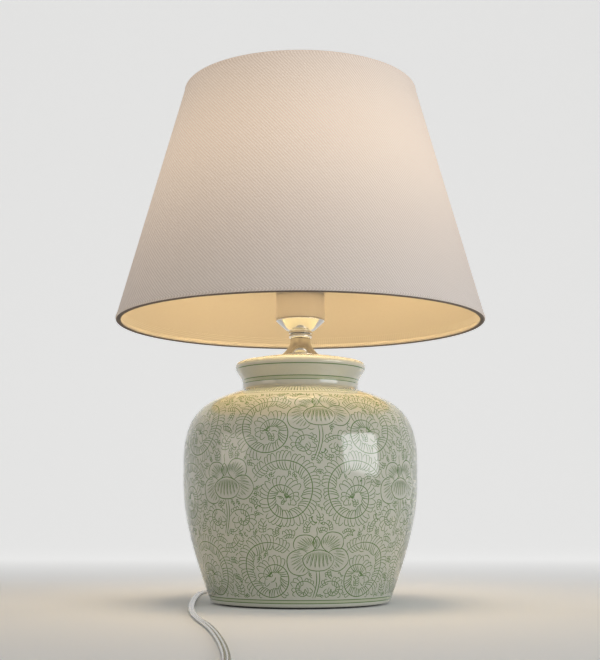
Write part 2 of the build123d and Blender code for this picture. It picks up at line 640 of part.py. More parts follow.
def ring_place(end):
    """Radius and height of the rim wire's centre at an end of the shade, -1 the bottom, 1 the top."""
    height = SHADE_TOP_HEIGHT - HEM_RADIUS if end > 0 else SHADE_BOTTOM_HEIGHT + HEM_RADIUS
    return shade_radius(height) + HEM_PROUD - HEM_RADIUS, height


def rim_wire(end):
    """Wire ring inside a rim."""
    radius, height = ring_place(end)
    return Pos(0, 0, height) * Torus(radius, RING_WIRE_RADIUS)


def rim_hem(end):
    """Cloth rolled over a rim's wire, slit where the spokes pass."""
    radius, height = ring_place(end)
    hem = Pos(0, 0, height) * (Torus(radius, HEM_RADIUS) - Torus(radius, RING_WIRE_RADIUS))
    return hem - make_spokes() if end > 0 else hem


def make_spokes():
    """Wires from the top ring down to the fitter ring."""
    radius, height = ring_place(1)
    foot = FITTER_TOP_HEIGHT
    points = [
        (radius, 0, height), (SPOKE_FOOT_RADIUS, 0, foot + SPOKE_KNEE_HEIGHT),
        (SPOKE_FOOT_RADIUS, 0, foot),
    ]
    path = FilletPolyline(*points, radius=SPOKE_KNEE_RADIUS)
    spoke = sweep(Plane(origin=path @ 0, z_dir=path % 0) * Circle(RING_WIRE_RADIUS), path=path) - rim_wire(1)
    spoke = spoke.solids().sort_by(SortBy.VOLUME)[-1]
    step = 360 / SPOKE_COUNT
    return Compound(children=[Rot(0, 0, SPOKE_FIRST_ANGLE + i * step) * spoke for i in range(SPOKE_COUNT)])


def make_ring_nut():
    """Ring that screws down the collar onto the fitter, with finger grips."""
    bottom = FITTER_TOP_HEIGHT + FIT_GAP
    nut = disc(RING_NUT_RADIUS, bottom, bottom + RING_NUT_HEIGHT, RING_NUT_BORE_RADIUS)
    grips = PolarLocations(RING_NUT_RADIUS + RING_NUT_GRIP_RADIUS - RING_NUT_GRIP_DEPTH, RING_NUT_GRIPS)
    cutter = Pos(0, 0, bottom + RING_NUT_RIM) * standing(RING_NUT_GRIP_RADIUS, RING_NUT_HEIGHT)
    return nut - [place * cutter for place in grips]


def make_inner_lead():
    """The lead inside the jar: across the recess, up the rod and out at its top."""
    start = (0, RECESS_RADIUS - RELIEF_FLANGE_THICKNESS, LEAD_EXIT_HEIGHT)
    corner = (0, 0, LEAD_EXIT_HEIGHT)
    end = (0, 0, ROD_TOP_HEIGHT + INNER_LEAD_PROUD)
    path = FilletPolyline(start, corner, end, radius=ROD_BOTTOM_HEIGHT - LEAD_EXIT_HEIGHT)
    return sweep(Plane(origin=path @ 0, z_dir=path % 0) * Circle(LEAD_RADIUS), path=path)


def make_cores():
    """The two conductors from the lead's end to the terminals."""
    low = ROD_TOP_HEIGHT + INNER_LEAD_PROUD
    high = INSERT_TOP_HEIGHT - INSERT_HEIGHT
    stub = CORE_STUB_SHARE * (high - low)
    near, far = CORE_RADIUS + CORE_GAP / 2, TERMINAL_SPACING / 2
    turn = Vector(0, 0, 1).get_angle(Vector(far - near, 0, high - low - 2 * stub))
    bend = 0.95 * stub / tan(radians(turn) / 2)
    cores = []
    for way in (-1, 1):
        path = FilletPolyline(
            (way * near, 0, low), (way * near, 0, low + stub),
            (way * far, 0, high - stub), (way * far, 0, high),
            radius=bend,
        )
        cores.append(sweep(Plane(origin=path @ 0, z_dir=path % 0) * Circle(CORE_RADIUS), path=path))
    return Compound(children=cores)


def switch_block(bottom, top, shrink=0.0):
    """Long housing form with rounded corners, ends and top edges, drawn in by shrink."""
    corner = SWITCH_CORNER_RADIUS - shrink
    outline = RectangleRounded(SWITCH_WIDTH - 2 * shrink, SWITCH_LENGTH - 2 * shrink, corner)
    return Pos(*SWITCH_CENTRE, bottom) * extrude(outline, top - bottom)


def lead_entry():
    """The lead's way in at both ends of the switch."""
    return Pos(*SWITCH_CENTRE, SWITCH_SPLIT_HEIGHT) * Rot(90, 0, 0) * Cylinder(
        LEAD_RADIUS + SWITCH_ENTRY_CLEARANCE, SWITCH_LENGTH
    )


def make_switch_base():
    """Lower half of the switch housing, a tray."""
    outside = switch_block(0, SWITCH_SPLIT_HEIGHT)
    outside = fillet(outside.faces().sort_by(Axis.Z)[0].edges(), SWITCH_BASE_ROUNDING)
    inside = switch_block(SWITCH_WALL, SWITCH_SPLIT_HEIGHT, SWITCH_ENTRY_DEPTH)
    holes = [place * Cylinder(SCREW_SHANK_RADIUS, 4 * SWITCH_HEIGHT) for place in screw_places()]
    head_top = SCREW_HEAD_RECESS + SCREW_HEAD_HEIGHT
    heads = [place * Cylinder(SCREW_HEAD_RADIUS + 0.1, 2 * head_top) for place in screw_places()]
    post = standing(SCREW_HEAD_RADIUS + POST_WALL, SWITCH_SPLIT_HEIGHT)
    posts = [place * post for place in screw_places()]
    return outside - inside + posts - holes - heads - lead_entry()


def screw_places():
    """Where the two housing screws stand."""
    reach = SWITCH_LENGTH / 2 - SCREW_END_MARGIN
    side = SWITCH_WIDTH / 2 - SCREW_SIDE_MARGIN
    return [Pos(SWITCH_CENTRE[0] + way * side, SWITCH_CENTRE[1] + way * reach, 0) for way in (-1, 1)]


def make_switch_cover():
    """Upper half with the rocker's window and the two lugs that hold its pins."""
    outside = switch_block(SWITCH_SPLIT_HEIGHT, SWITCH_HEIGHT)
    outside = fillet(outside.faces().sort_by(Axis.Z)[-1].edges(), SWITCH_TOP_ROUNDING)
    inside_top = SWITCH_HEIGHT - SWITCH_WALL
    inside = switch_block(SWITCH_SPLIT_HEIGHT, inside_top, SWITCH_ENTRY_DEPTH)
    window_width = ROCKER_WIDTH + 2 * ROCKER_GAP
    window_length = 2 * (ROCKER_REACH + ROCKER_GAP)
    window = Pos(*SWITCH_CENTRE, SWITCH_HEIGHT) * Box(window_width, window_length, 4 * SWITCH_WALL)
    lug_low = ROCKER_PIVOT_HEIGHT - LUG_DROP
    lugs = [
        Pos(SWITCH_CENTRE[0] + way * (window_width + LUG_THICKNESS) / 2, SWITCH_CENTRE[1], lug_low)
        * Box(LUG_THICKNESS, LUG_LENGTH, inside_top - lug_low, align=(Align.CENTER, Align.CENTER, Align.MIN))
        for way in (-1, 1)
    ]
    bore = Pos(*SWITCH_CENTRE, ROCKER_PIVOT_HEIGHT) * Rot(0, 90, 0) * Cylinder(
        PIVOT_RADIUS + PIVOT_CLEARANCE, window_width + 2 * LUG_THICKNESS
    )
    post_height = inside_top - SWITCH_SPLIT_HEIGHT
    post = Pos(0, 0, SWITCH_SPLIT_HEIGHT) * standing(SCREW_SHANK_RADIUS + SWITCH_WALL, post_height)
    posts = [place * post for place in screw_places()]
    hole = standing(SCREW_SHANK_RADIUS, SWITCH_SPLIT_HEIGHT + SCREW_REACH)
    holes = [place * hole for place in screw_places()]
    return outside - inside - window + lugs + posts - bore - holes - lead_entry()


def make_switch_screws():
    """Two countersunk screws from below."""
    head_top = SCREW_HEAD_RECESS + SCREW_HEAD_HEIGHT
    screw = disc(SCREW_HEAD_RADIUS, SCREW_HEAD_RECESS, head_top)
    screw += disc(SCREW_SHANK_RADIUS, head_top, SWITCH_SPLIT_HEIGHT + SCREW_REACH)
    return Compound(children=[place * screw for place in screw_places()])


def make_rocker():
    """Rocker with a shallow V top on two pins, resting with the half nearer the jar pressed."""
    slope = tan(radians(ROCKER_THROW / 2))
    end = 0.96 * ROCKER_REACH
    edge = end - ROCKER_EDGE
    edge_top = ROCKER_CENTRE_RISE + edge * slope
    half = [
        (edge, edge_top), (end, edge_top - ROCKER_EDGE), (end, -0.4 * ROCKER_DROP),
        (0.28 * ROCKER_REACH, -ROCKER_DROP),
    ]
    right = [(0, y, z) for y, z in half]
    left = [(0, -y, z) for y, z in reversed(half)]
    side = Polyline((0, 0, ROCKER_CENTRE_RISE), *right, *left, close=True)
    body = Pos(-ROCKER_WIDTH / 2, 0, 0) * extrude(make_face(side), ROCKER_WIDTH, dir=(1, 0, 0))
    body &= Rot(0, 90, 0) * Cylinder(ROCKER_REACH, ROCKER_WIDTH)
    pins = Rot(0, 90, 0) * Cylinder(PIVOT_RADIUS, ROCKER_WIDTH + 2 * PIVOT_LENGTH)
    return Pos(*SWITCH_CENTRE, ROCKER_PIVOT_HEIGHT) * Rot(-ROCKER_THROW / 2, 0, 0) * (body + pins)


def plug_section(width, height, along, corner):
    """Rounded cross-section of the plug at a place along X."""
    plane = Plane(origin=(along, PLUG_Y, PLUG_AXIS_HEIGHT), x_dir=(0, 1, 0), z_dir=(1, 0, 0))
    return plane * RectangleRounded(width, height, corner)


def make_plug_body():
    """Flat two-pin plug, waisted between the wide pin face and the narrow tail."""
    tail = PLUG_RELIEF_START + RELIEF_LENGTH
    face = tail + PLUG_LENGTH
    body = loft([
        plug_section(PLUG_TAIL_WIDTH, PLUG_TAIL_HEIGHT, tail, 4.0),
        plug_section(PLUG_TAIL_WIDTH + 7, PLUG_TAIL_HEIGHT + 1.2, tail + 0.3 * PLUG_LENGTH, 4.4),
        plug_section(PLUG_WIDTH - 4, PLUG_HEIGHT, tail + 0.62 * PLUG_LENGTH, 5.0),
        plug_section(PLUG_WIDTH, PLUG_HEIGHT, face, 5.6),
    ], ruled=True)
    seats = [
        Pos(face, PLUG_Y + way * PIN_SPACING / 2, PLUG_AXIS_HEIGHT) * Rot(0, 90, 0)
        * Cylinder(PIN_ROOT_RADIUS, 2 * PIN_SEAT_DEPTH)
        for way in (-1, 1)
    ]
    return body - seats


def make_plug_pins():
    """Two round pins with domed ends and thinner roots in the body."""
    face = PLUG_RELIEF_START + RELIEF_LENGTH + PLUG_LENGTH
    pins = []
    for way in (-1, 1):
        pin = fillet(disc(PIN_RADIUS, 0, PIN_LENGTH).edges().sort_by(Axis.Z)[-1], PIN_END_ROUNDING)
        pin += disc(PIN_ROOT_RADIUS, -PIN_SEAT_DEPTH, 0)
        pins.append(Pos(face, PLUG_Y + way * PIN_SPACING / 2, PLUG_AXIS_HEIGHT) * Rot(0, 90, 0) * pin)
    return Compound(children=pins)


def make_plug_relief():
    """Ribless tapered tail moulded between lead and plug."""
    shape = Polyline(
        (0, 0, 0), (RELIEF_TIP_RADIUS, 0, 0), (PLUG_TAIL_HEIGHT / 2 - 0.6, 0, RELIEF_LENGTH),
        (0, 0, RELIEF_LENGTH), close=True,
    )
    tail = revolve(make_face(shape), Axis.Z)
    return Pos(PLUG_RELIEF_START, PLUG_Y, PLUG_AXIS_HEIGHT) * Rot(0, 90, 0) * tail


def make_all():
    """Every sub-part by its node's name."""
    run, run_length = lead_tube("lead_run", RUN_POINTS)
    link, link_length = lead_tube("lead_link", LINK_POINTS)
    end, end_length = lead_tube("lead_end", END_POINTS)
    coil, coil_length = coil_tube()
    through = SWITCH_LENGTH - 2 * SWITCH_ENTRY_DEPTH
    print(f"lead in all: {run_length + link_length + end_length + coil_length + through:.0f} mm")
    washer_bottom = FLOOR_BOTTOM_HEIGHT - WASHER_THICKNESS
    skin_low = SHADE_BOTTOM_HEIGHT + 2 * HEM_RADIUS
    skin_high = SHADE_TOP_HEIGHT - 2 * HEM_RADIUS
    nodes = {
        "felt_pad": disc(FELT_RADIUS, 0, FELT_THICKNESS),
        "jar_body": make_jar(),
        "jar_strain_relief": make_relief(),
        "threaded_rod": disc(ROD_RADIUS, ROD_BOTTOM_HEIGHT, ROD_TOP_HEIGHT, ROD_BORE_RADIUS),
        "floor_washer": disc(WASHER_RADIUS, washer_bottom, FLOOR_BOTTOM_HEIGHT, ROD_RADIUS),
        "floor_nut": hex_nut(washer_bottom - NUT_HEIGHT),
        "stem_foot": make_stem_foot(),
        "stem_bead": make_bead(),
        "holder_cup": make_cup(),
        "holder_cap": make_holder_cap(),
        "holder_nut": hex_nut(CUP_TOP_HEIGHT + HOLDER_FLOOR),
        "holder_skirt": make_holder_skirt(),
        "holder_insert": make_insert(),
        "terminal_screws": make_terminal_screws(),
        "screw_shell": make_screw_shell(),
        "centre_spring": make_centre_spring(),
        "inner_lead": make_inner_lead(),
        "lead_cores": make_cores(),
        "shade_cloth": cone_shell(skin_low, skin_high, 0, SKIN_THICKNESS),
        "shade_lining": cone_shell(skin_low, skin_high, SKIN_THICKNESS, BACKING_THICKNESS),
        "shade_top_ring": rim_wire(1),
        "shade_bottom_ring": rim_wire(-1),
        "shade_top_hem": rim_hem(1),
        "shade_bottom_hem": rim_hem(-1),
        "shade_spokes": make_spokes(),
        "fitter_ring": disc(FITTER_RADIUS, FITTER_BOTTOM_HEIGHT, FITTER_TOP_HEIGHT, FITTER_BORE_RADIUS),
        "shade_ring_nut": make_ring_nut(),
        "lead_run": run,
        "lead_link": link,
        "lead_coil": coil,
        "lead_end": end,
        "switch_base": make_switch_base(),
        "switch_cover": make_switch_cover(),
        "switch_rocker": make_rocker(),
        "switch_screws": make_switch_screws(),
        "plug_relief": make_plug_relief(),
        "plug_body": make_plug_body(),
        "plug_pins": make_plug_pins(),
    }
    nodes.update(make_bulb())
    return nodes


os.makedirs("parts", exist_ok=True)
for node_name, shape in make_all().items():
    export_step(shape, f"parts/{node_name}.step")
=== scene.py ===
import bisect
import math

import bpy
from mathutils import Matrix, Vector
from mathutils.geometry import interpolate_bezier


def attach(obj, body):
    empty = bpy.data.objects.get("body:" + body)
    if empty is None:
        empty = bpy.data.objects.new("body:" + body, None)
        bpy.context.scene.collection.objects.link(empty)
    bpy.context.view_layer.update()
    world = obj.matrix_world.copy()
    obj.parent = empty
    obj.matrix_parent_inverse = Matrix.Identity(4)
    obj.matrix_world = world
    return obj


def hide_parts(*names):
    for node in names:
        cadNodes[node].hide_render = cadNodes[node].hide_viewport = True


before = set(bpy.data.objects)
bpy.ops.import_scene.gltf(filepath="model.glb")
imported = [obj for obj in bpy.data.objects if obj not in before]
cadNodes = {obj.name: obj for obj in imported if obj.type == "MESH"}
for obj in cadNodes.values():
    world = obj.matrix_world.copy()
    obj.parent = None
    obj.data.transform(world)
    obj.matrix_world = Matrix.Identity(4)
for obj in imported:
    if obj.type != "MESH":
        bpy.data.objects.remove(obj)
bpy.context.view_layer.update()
mm = 0.001


def say(text):
    print("[lamp]", text)


def makeActive(ob):
    if bpy.context.object and bpy.context.object.mode != "OBJECT":
        bpy.ops.object.mode_set(mode="OBJECT")
    for other in list(bpy.context.selected_objects):
        other.select_set(False)
    ob.select_set(True)
    bpy.context.view_layer.objects.active = ob


def meshPiece(name, verts, faces=(), edges=()):
    mesh = bpy.data.meshes.new(name)
    mesh.from_pydata(verts, edges, faces)
    ob = bpy.data.objects.new(name, mesh)
    bpy.context.collection.objects.link(ob)
    return ob


def smoothBy(ob, degrees):
    makeActive(ob)
    bpy.ops.object.shade_smooth_by_angle(angle=math.radians(degrees))


def recalcNormals(ob, mergeDistance=1e-6):
    makeActive(ob)
    bpy.ops.object.mode_set(mode="EDIT")
    bpy.ops.mesh.select_all(action="SELECT")
    bpy.ops.mesh.remove_doubles(threshold=mergeDistance)
    bpy.ops.mesh.normals_make_consistent(inside=False)
    bpy.ops.object.mode_set(mode="OBJECT")


def spinOutline(name, outline, steps, closed=False):
    # outline is (radius, height) in mm; it is turned once round Z
    verts = [(r * mm, 0, z * mm) for r, z in outline]
    edges = [(i, i + 1) for i in range(len(verts) - 1)]
    if closed:
        edges.append((len(verts) - 1, 0))
    ob = meshPiece(name, verts, edges=edges)
    makeActive(ob)
    bpy.ops.object.mode_set(mode="EDIT")
    bpy.ops.mesh.select_all(action="SELECT")
    bpy.ops.mesh.spin(steps=steps, angle=2 * math.pi, center=(0, 0, 0), axis=(0, 0, 1))
    bpy.ops.object.mode_set(mode="OBJECT")
    recalcNormals(ob)
    return ob


def around(centre, radius, angle):
    # the point at an angle and distance from a centre
    return centre[0] + radius * math.cos(angle), centre[1] + radius * math.sin(angle)


def arcRun(centre, radius, start, end, count):
    # part of a circle, from start to end in degrees
    return [around(centre, radius, math.radians(start + (end - start) * i / count)) for i in range(count + 1)]


def bezierRun(points, count):
    flat = [Vector((x, y, 0)) for x, y in points]
    return [(p.x, p.y) for p in interpolate_bezier(*flat, count + 1)]


def joinRuns(*runs):
    # each run starts where the one before it ends
    joined = list(runs[0])
    for run in runs[1:]:
        joined += run[1:]
    return joined


def runLengths(points, start=0.0):
    # the length along a run at each of its points
    lengths = [start]
    for a, b in zip(points, points[1:]):
        lengths.append(lengths[-1] + math.dist(a, b))
    return lengths


def feed(tree, node, inputs):
    # every input gets a link, a colour or a value
    for key, value in inputs.items():
        socket = node.inputs[key]
        if isinstance(value, bpy.types.NodeSocket):
            tree.links.new(value, socket)
        else:
            socket.default_value = (*value, 1) if socket.type == "RGBA" else value
    return node


def addNode(tree, kind, inputs=None, **values):
    node = tree.nodes.new(kind)
    for key, value in values.items():
        setattr(node, key, value)
    return feed(tree, node, inputs or {})


def mathNode(tree, operation, *values, clamp=False):
    return addNode(tree, "ShaderNodeMath", dict(enumerate(values)),
                   operation=operation, use_clamp=clamp).outputs[0]


def mixNode(tree, factor, first, second, **values):
    node = addNode(tree, "ShaderNodeMix", data_type="RGBA", **values)
    return feed(tree, node, {"Factor": factor, 6: first, 7: second}).outputs[2]


def noiseNode(tree, place, scale, detail):
    return addNode(tree, "ShaderNodeTexNoise", {"Vector": place, "Scale": scale, "Detail": detail}).outputs[0]


def bumpNode(tree, height, distance):
    inputs = {"Strength": 1.0, "Distance": distance, "Height": height}
    return addNode(tree, "ShaderNodeBump", inputs).outputs[0]


def rangeNode(tree, value, ends, kind="LINEAR"):
    # 0 at the first of the ends and 1 at the second
    inputs = {"Value": value, "From Min": ends[0], "From Max": ends[1]}
    return addNode(tree, "ShaderNodeMapRange", inputs, interpolation_type=kind).outputs[0]


def placeNode(tree, kind):
    return addNode(tree, "ShaderNodeTexCoord").outputs[kind]


def splitNode(tree, place):
    return addNode(tree, "ShaderNodeSeparateXYZ", {0: place}).outputs


def newGroup(name, inputs, outputs):
    group = bpy.data.node_groups.new(name, "ShaderNodeTree")
    for label, value in inputs.items():
        kind = "NodeSocketFloat" if isinstance(value, float) else "NodeSocketColor"
        group.interface.new_socket(label, in_out="INPUT", socket_type=kind).default_value = value
    for label, kind in outputs.items():
        group.interface.new_socket(label, in_out="OUTPUT", socket_type=kind)
    return group, group.nodes.new("NodeGroupInput").outputs, group.nodes.new("NodeGroupOutput")


def newMaterial(name):
    mat = bpy.data.materials.new(name)
    mat.use_nodes = True
    return mat, mat.node_tree


def setShader(mat, inputs):
    feed(mat.node_tree, mat.node_tree.nodes["Principled BSDF"], inputs)
    return mat


def dress(ob, mat):
    ob.data.materials.clear()
    ob.data.materials.append(mat)


def makeGrainGroup():
    # fine speckle and slow clouding that most of the finishes share
    group, into, out = newGroup(
        "surfaceGrain", {"Scale": 300.0, "Cloud Scale": 12.0, "Amount": 0.05,
                         "Base": (0.8, 0.8, 0.8, 1), "Tint": (0.7, 0.7, 0.7, 1)},
        {"Color": "NodeSocketColor", "Grain": "NodeSocketFloat", "Cloud": "NodeSocketFloat"})
    place = placeNode(group, "Object")
    fine = noiseNode(group, place, into["Scale"], 3)
    cloud = noiseNode(group, place, into["Cloud Scale"], 2)
    share, speck = (mathNode(group, "MULTIPLY", noise, into["Amount"]) for noise in (cloud, fine))
    color = mixNode(group, mathNode(group, "ADD", share, speck, clamp=True), into["Base"], into["Tint"])
    feed(group, out, {"Color": color, "Grain": fine, "Cloud": cloud})
    return group


grainGroup = makeGrainGroup()


def grainMaterial(name, look):
    # look: base, tint, rough, roughSpan, metal, coat, bump, scale, cloudScale, amount
    mat, tree = newMaterial(name)
    grain = addNode(tree, "ShaderNodeGroup", {
        "Scale": look["scale"], "Cloud Scale": look["cloudScale"], "Amount": look["amount"],
        "Base": look["base"], "Tint": look["tint"]}, node_tree=grainGroup).outputs
    span = look.get("roughSpan", 0.06)
    setShader(mat, {
        "Base Color": grain["Color"],
        "Roughness": mathNode(tree, "MULTIPLY_ADD", grain["Cloud"], span, look["rough"] - span / 2),
        "Metallic": look.get("metal", 0.0), "Coat Weight": look.get("coat", 0.0)})
    if "bump" in look:
        setShader(mat, {"Normal": bumpNode(tree, grain["Grain"], look["bump"])})
    return mat


cameraView = {
    "place": (0.0, -1148.4 * mm, 80.2 * mm),
    "pitchUp": 0.151,
    "focalPixels": 1213.92,
    "frameHeight": 660,
    "sensor": 36.0,
    "shift": (-0.4, 0.5),  # pixels
}


def makeCamera(view):
    data = bpy.data.cameras.new("camera")
    data.sensor_fit = "VERTICAL"
    data.sensor_height = view["sensor"]
    data.lens = view["sensor"] * view["focalPixels"] / view["frameHeight"]
    data.clip_start = 0.01
    data.shift_x, data.shift_y = (pixels / view["frameHeight"] for pixels in view["shift"])
    camera = bpy.data.objects.new("camera", data)
    bpy.context.collection.objects.link(camera)
    camera.location = view["place"]
    camera.rotation_euler = (math.pi / 2 + view["pitchUp"], 0, 0)
    bpy.context.scene.camera = camera


makeCamera(cameraView)
say("camera")

# the mains lead, in mm but for its whole length
lead = {
    "width": 5.4,
    "thick": 2.8,
    "web": 0.93,  # how near the cores' round sides come to the middle, 1 at the middle
    "tableHeight": 1.45,  # centre of the flat lead on the table
    "switchHeight": 7.5,
    "coilHeight": 2.75,
    "coilPitch": 5.9,
    "coilCentre": (54.0, -628.0),
    "coilRadius": 36.5,
    "coilTurns": 3.25,
    "coilReach": 38.0,  # all of the coil lies within this of its centre
    "pointsPerTurn": 16,
    "onEdgeFrom": -700.0,  # beyond this line the lead turns onto its edge
    "turning": 0.03,  # how far before and after that stretch the turn reaches, in m
    "turningBack": (-0.005, 0.02),  # start and end of the turn back to flat, past the coil's end, in m
    "declared": 1.80,
    "exit": (0, 105.0, 8.5),
    "sheath": (0.50, 0.51, 0.49),
    "cores": (0.36, 0.31, 0.26),
    "coreEdge": (0.17, 0.08),  # where a core's dark band fades out and is full, as shares of the width
    "strands": (60.0, 420.0),  # of the cores, across and along
    "strandTone": (0.12, 0.85),  # how much they vary, and their mean
}


def leadRoute(look):
    table, high, low = look["tableHeight"], look["switchHeight"], look["coilHeight"]
    run = [
        look["exit"], (0, 126, 8.3), (-10, 149, 4.6), (-30, 168, table), (-56, 174, table), (-81, 168, table),
        (-98, 148, table), (-103, 112, table), (-102, 50, table), (-98, -28, table), (-92, -105, table),
        (-81, -182, table), (-65, -258, table), (-54, -330, table), (-45, -405, table), (-39, -476, table),
        (-41, -524, table), (-46, -552, 3.8), (-48, -573, high), (-48, -597, high),
    ]
    link = [
        (-48, -649, high), (-48, -667, high), (-47.5, -687, 4.6), (-39.5, -703.5, 2.4), (-24.5, -712.5, low),
        (-6.5, -713, low), (9, -704.5, low), (18.5, -689, low), (20, -670.5, low), (17.5, -651.5, low),
    ]
    coil = []
    half = look["coilTurns"] / 2
    for i in range(round(look["coilTurns"] * look["pointsPerTurn"]) + 1):
        turn = i / look["pointsPerTurn"]
        radius = look["coilRadius"] - look["coilPitch"] * (half - abs(half - turn))
        # the inner turns climb onto the first ones half way through
        climbed = min(max((turn - half) * 2 + 0.5, 0), 1)
        height = low + look["coilPitch"] * climbed * climbed * (3 - 2 * climbed)
        coil.append((*around(look["coilCentre"], radius, math.pi - 2 * math.pi * turn), height))
    topY = look["coilCentre"][1] + look["coilRadius"]
    end = [(71, topY, 8.65), (83, topY - 1, 6.85), (97, topY - 1, 6.85)]
    return [Vector(p) * mm for p in run + link + coil + end]


def splineLine(points):
    # the route's own smooth line, read from an order 3 spline
    curve = bpy.data.curves.new("leadLine", "CURVE")
    curve.dimensions = "3D"
    curve.resolution_u = 8
    spline = curve.splines.new("NURBS")
    spline.points.add(len(points) - 1)
    for point, place in zip(spline.points, points):
        point.co = (*place, 1)
    spline.order_u = 3
    spline.use_endpoint_u = True
    ob = bpy.data.objects.new("leadLine", curve)
    bpy.context.collection.objects.link(ob)
    mesh = bpy.data.meshes.new_from_object(ob)
    line = [v.co.copy() for v in mesh.vertices]
    bpy.data.objects.remove(ob)
    bpy.data.meshes.remove(mesh)
    return line


def smoothStep(low, high, value):
    t = min(max((value - low) / (high - low), 0), 1)
    return t * t * (3 - 2 * t)


def twinSection(look, count=9):
    # figure-eight outline: two round cores side by side with a shallow web between
    radius = look["thick"] / 2
    offset = look["width"] / 2 - radius
    web = math.acos(offset / radius * look["web"])
    outline = []
    for side in (1, -1):
        for i in range(count):
            angle = -math.pi + web + (2 * math.pi - 2 * web) * i / (count - 1)
            x, y = around((offset, 0), radius, angle)
            outline.append((side * x * mm, side * y * mm))
    return outline


def sweepFlat(name, line, section, wideWay):
    # wideWay(i, ahead) gives the direction of the section's wide side at a point of the line
    verts, faces = [], []
    size = len(section)
    for i, place in enumerate(line):
        ahead = (line[min(i + 1, len(line) - 1)] - line[max(i - 1, 0)]).normalized()
        wide = wideWay(i, ahead)
        wide = (wide - ahead * wide.dot(ahead)).normalized()
        thick = ahead.cross(wide)
        verts += [place + wide * x + thick * y for x, y in section]
    for i in range(len(line) - 1):
        for j in range(size):
            a, b = i * size + j, i * size + (j + 1) % size
            faces.append((a, b, b + size, a + size))
    faces.append(tuple(range(size - 1, -1, -1)))
    faces.append(tuple(range(len(verts) - size, len(verts))))
    return meshPiece(name, verts, faces)


def makeLead(look):
    line = splineLine(leadRoute(look))
    reach = runLengths(line)
    # the lead lies flat on the table and stands on edge in the coil
    cx, cy = (c * mm for c in look["coilCentre"])
    rise = [r for r, p in zip(reach, line) if p.y < look["onEdgeFrom"] * mm]
    turnStart, turnEnd = rise[0] - look["turning"], rise[-1] + look["turning"]
    coilEnd = max(r for r, p in zip(reach, line) if math.hypot(p.x - cx, p.y - cy) < look["coilReach"] * mm)
    flatFrom, flatTo = (coilEnd + past for past in look["turningBack"])

    def wideWay(i, ahead):
        upright = smoothStep(turnStart, turnEnd, reach[i])
        upright *= 1 - smoothStep(flatFrom, flatTo, reach[i])
        level = Vector((ahead.y, -ahead.x, 0)).normalized()
        angle = upright * math.pi / 2
        return level * math.cos(angle) + Vector((0, 0, 1)) * math.sin(angle)

    section = twinSection(look)
    ob = sweepFlat("mainsLead", line, section, wideWay)
    layer = ob.data.uv_layers.new(name="UVMap")
    for loop in ob.data.loops:
        i, j = divmod(loop.vertex_index, len(section))
        layer.data[loop.index].uv = (section[j][0] / (look["width"] * mm), reach[i] * 10)
    recalcNormals(ob, 1e-7)
    say(f"lead length {reach[-1]:.3f} m")
    smoothBy(ob, 50)
    return ob, line


def makeClearLead(look):
    # clear sheath over two stranded cores, seen as darker bands along it
    mat, tree = newMaterial("clearLead")
    split = splitNode(tree, placeNode(tree, "UV"))
    core = (look["width"] - look["thick"]) / 2 / look["width"]
    away = mathNode(tree, "SUBTRACT", mathNode(tree, "ABSOLUTE", split["X"]), core)
    band = rangeNode(tree, mathNode(tree, "ABSOLUTE", away), look["coreEdge"], "SMOOTHSTEP")
    across, along = look["strands"]
    lay = mathNode(tree, "MULTIPLY_ADD", split["Y"], along, mathNode(tree, "MULTIPLY", split["X"], across))
    strands = mathNode(tree, "MULTIPLY_ADD", mathNode(tree, "SINE", lay), *look["strandTone"])
    color = mixNode(tree, mathNode(tree, "MULTIPLY", band, strands), look["sheath"], look["cores"])
    return setShader(mat, {"Base Color": color, "Roughness": 0.22,
                           "Coat Weight": 0.3, "Coat Roughness": 0.08})


mainsLead, leadLine = makeLead(lead)
dress(mainsLead, makeClearLead(lead))
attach(mainsLead, "base")
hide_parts("lead_run", "lead_link", "lead_coil", "lead_end")
tuple(leadLine[0])
[tuple(p) for p in leadLine]
say("mains lead")

# the jar: pairs are radius and height in mm
jar = {
    "feltTop": 1.5,
    "footEdge": 2.5,
    "foot": 83.6,
    "belly": (109.7, 132.0),
    "neckBase": (56.5, 196.6),
    "neck": (54.7, 203.5),
    "lip": (61.8, 218.4),
    "roll": 5.8,
    "seat": (18.7, 230.4),
    "recess": (70.0, 24.5),
    "steps": 192,
}


def jarSide(look):
    # from the top of the foot's rounded edge up to the flat under the stem
    foot, footTop = look["foot"], look["feltTop"] + look["footEdge"]
    (belly, bellyZ), (base, baseZ) = look["belly"], look["neckBase"]
    (neck, neckZ), (lip, lipZ), (seat, seatZ) = look["neck"], look["lip"], look["seat"]
    low, high, neckRise = bellyZ - footTop, baseZ - bellyZ, neckZ - baseZ
    flare, dome, roll = lipZ - neckZ, seatZ - lipZ, look["roll"]
    rollEnd = (lip - roll, lipZ + 0.467 * dome)
    runs = [
        ([(foot, footTop), (belly, footTop + 0.545 * low), (belly, footTop + 0.69 * low),
          (belly, bellyZ)], 34),
        ([(belly, bellyZ), (belly, bellyZ + 0.72 * high),
          (base + 0.545 * (belly - base), baseZ - 0.141 * high), (base, baseZ)], 34),
        ([(base, baseZ), (neck + 0.17 * (base - neck), baseZ + 0.145 * neckRise),
          (neck, baseZ + 0.29 * neckRise), (neck, neckZ)], 10),
        ([(neck, neckZ), (neck, neckZ + 0.3 * flare), (lip - 0.11 * (lip - neck), lipZ - 0.31 * flare),
          (lip, lipZ)], 16),
        ([(lip, lipZ), (lip, lipZ + 0.242 * dome), (lip - 0.2 * roll, lipZ + 0.38 * dome), rollEnd], 12),
        ([rollEnd, (lip - 2.4 * roll, lipZ + 0.62 * dome), (seat + 14.3, lipZ + 0.833 * dome),
          (seat, seatZ)], 12),
    ]
    return joinRuns(*(bezierRun(points, count) for points, count in runs))


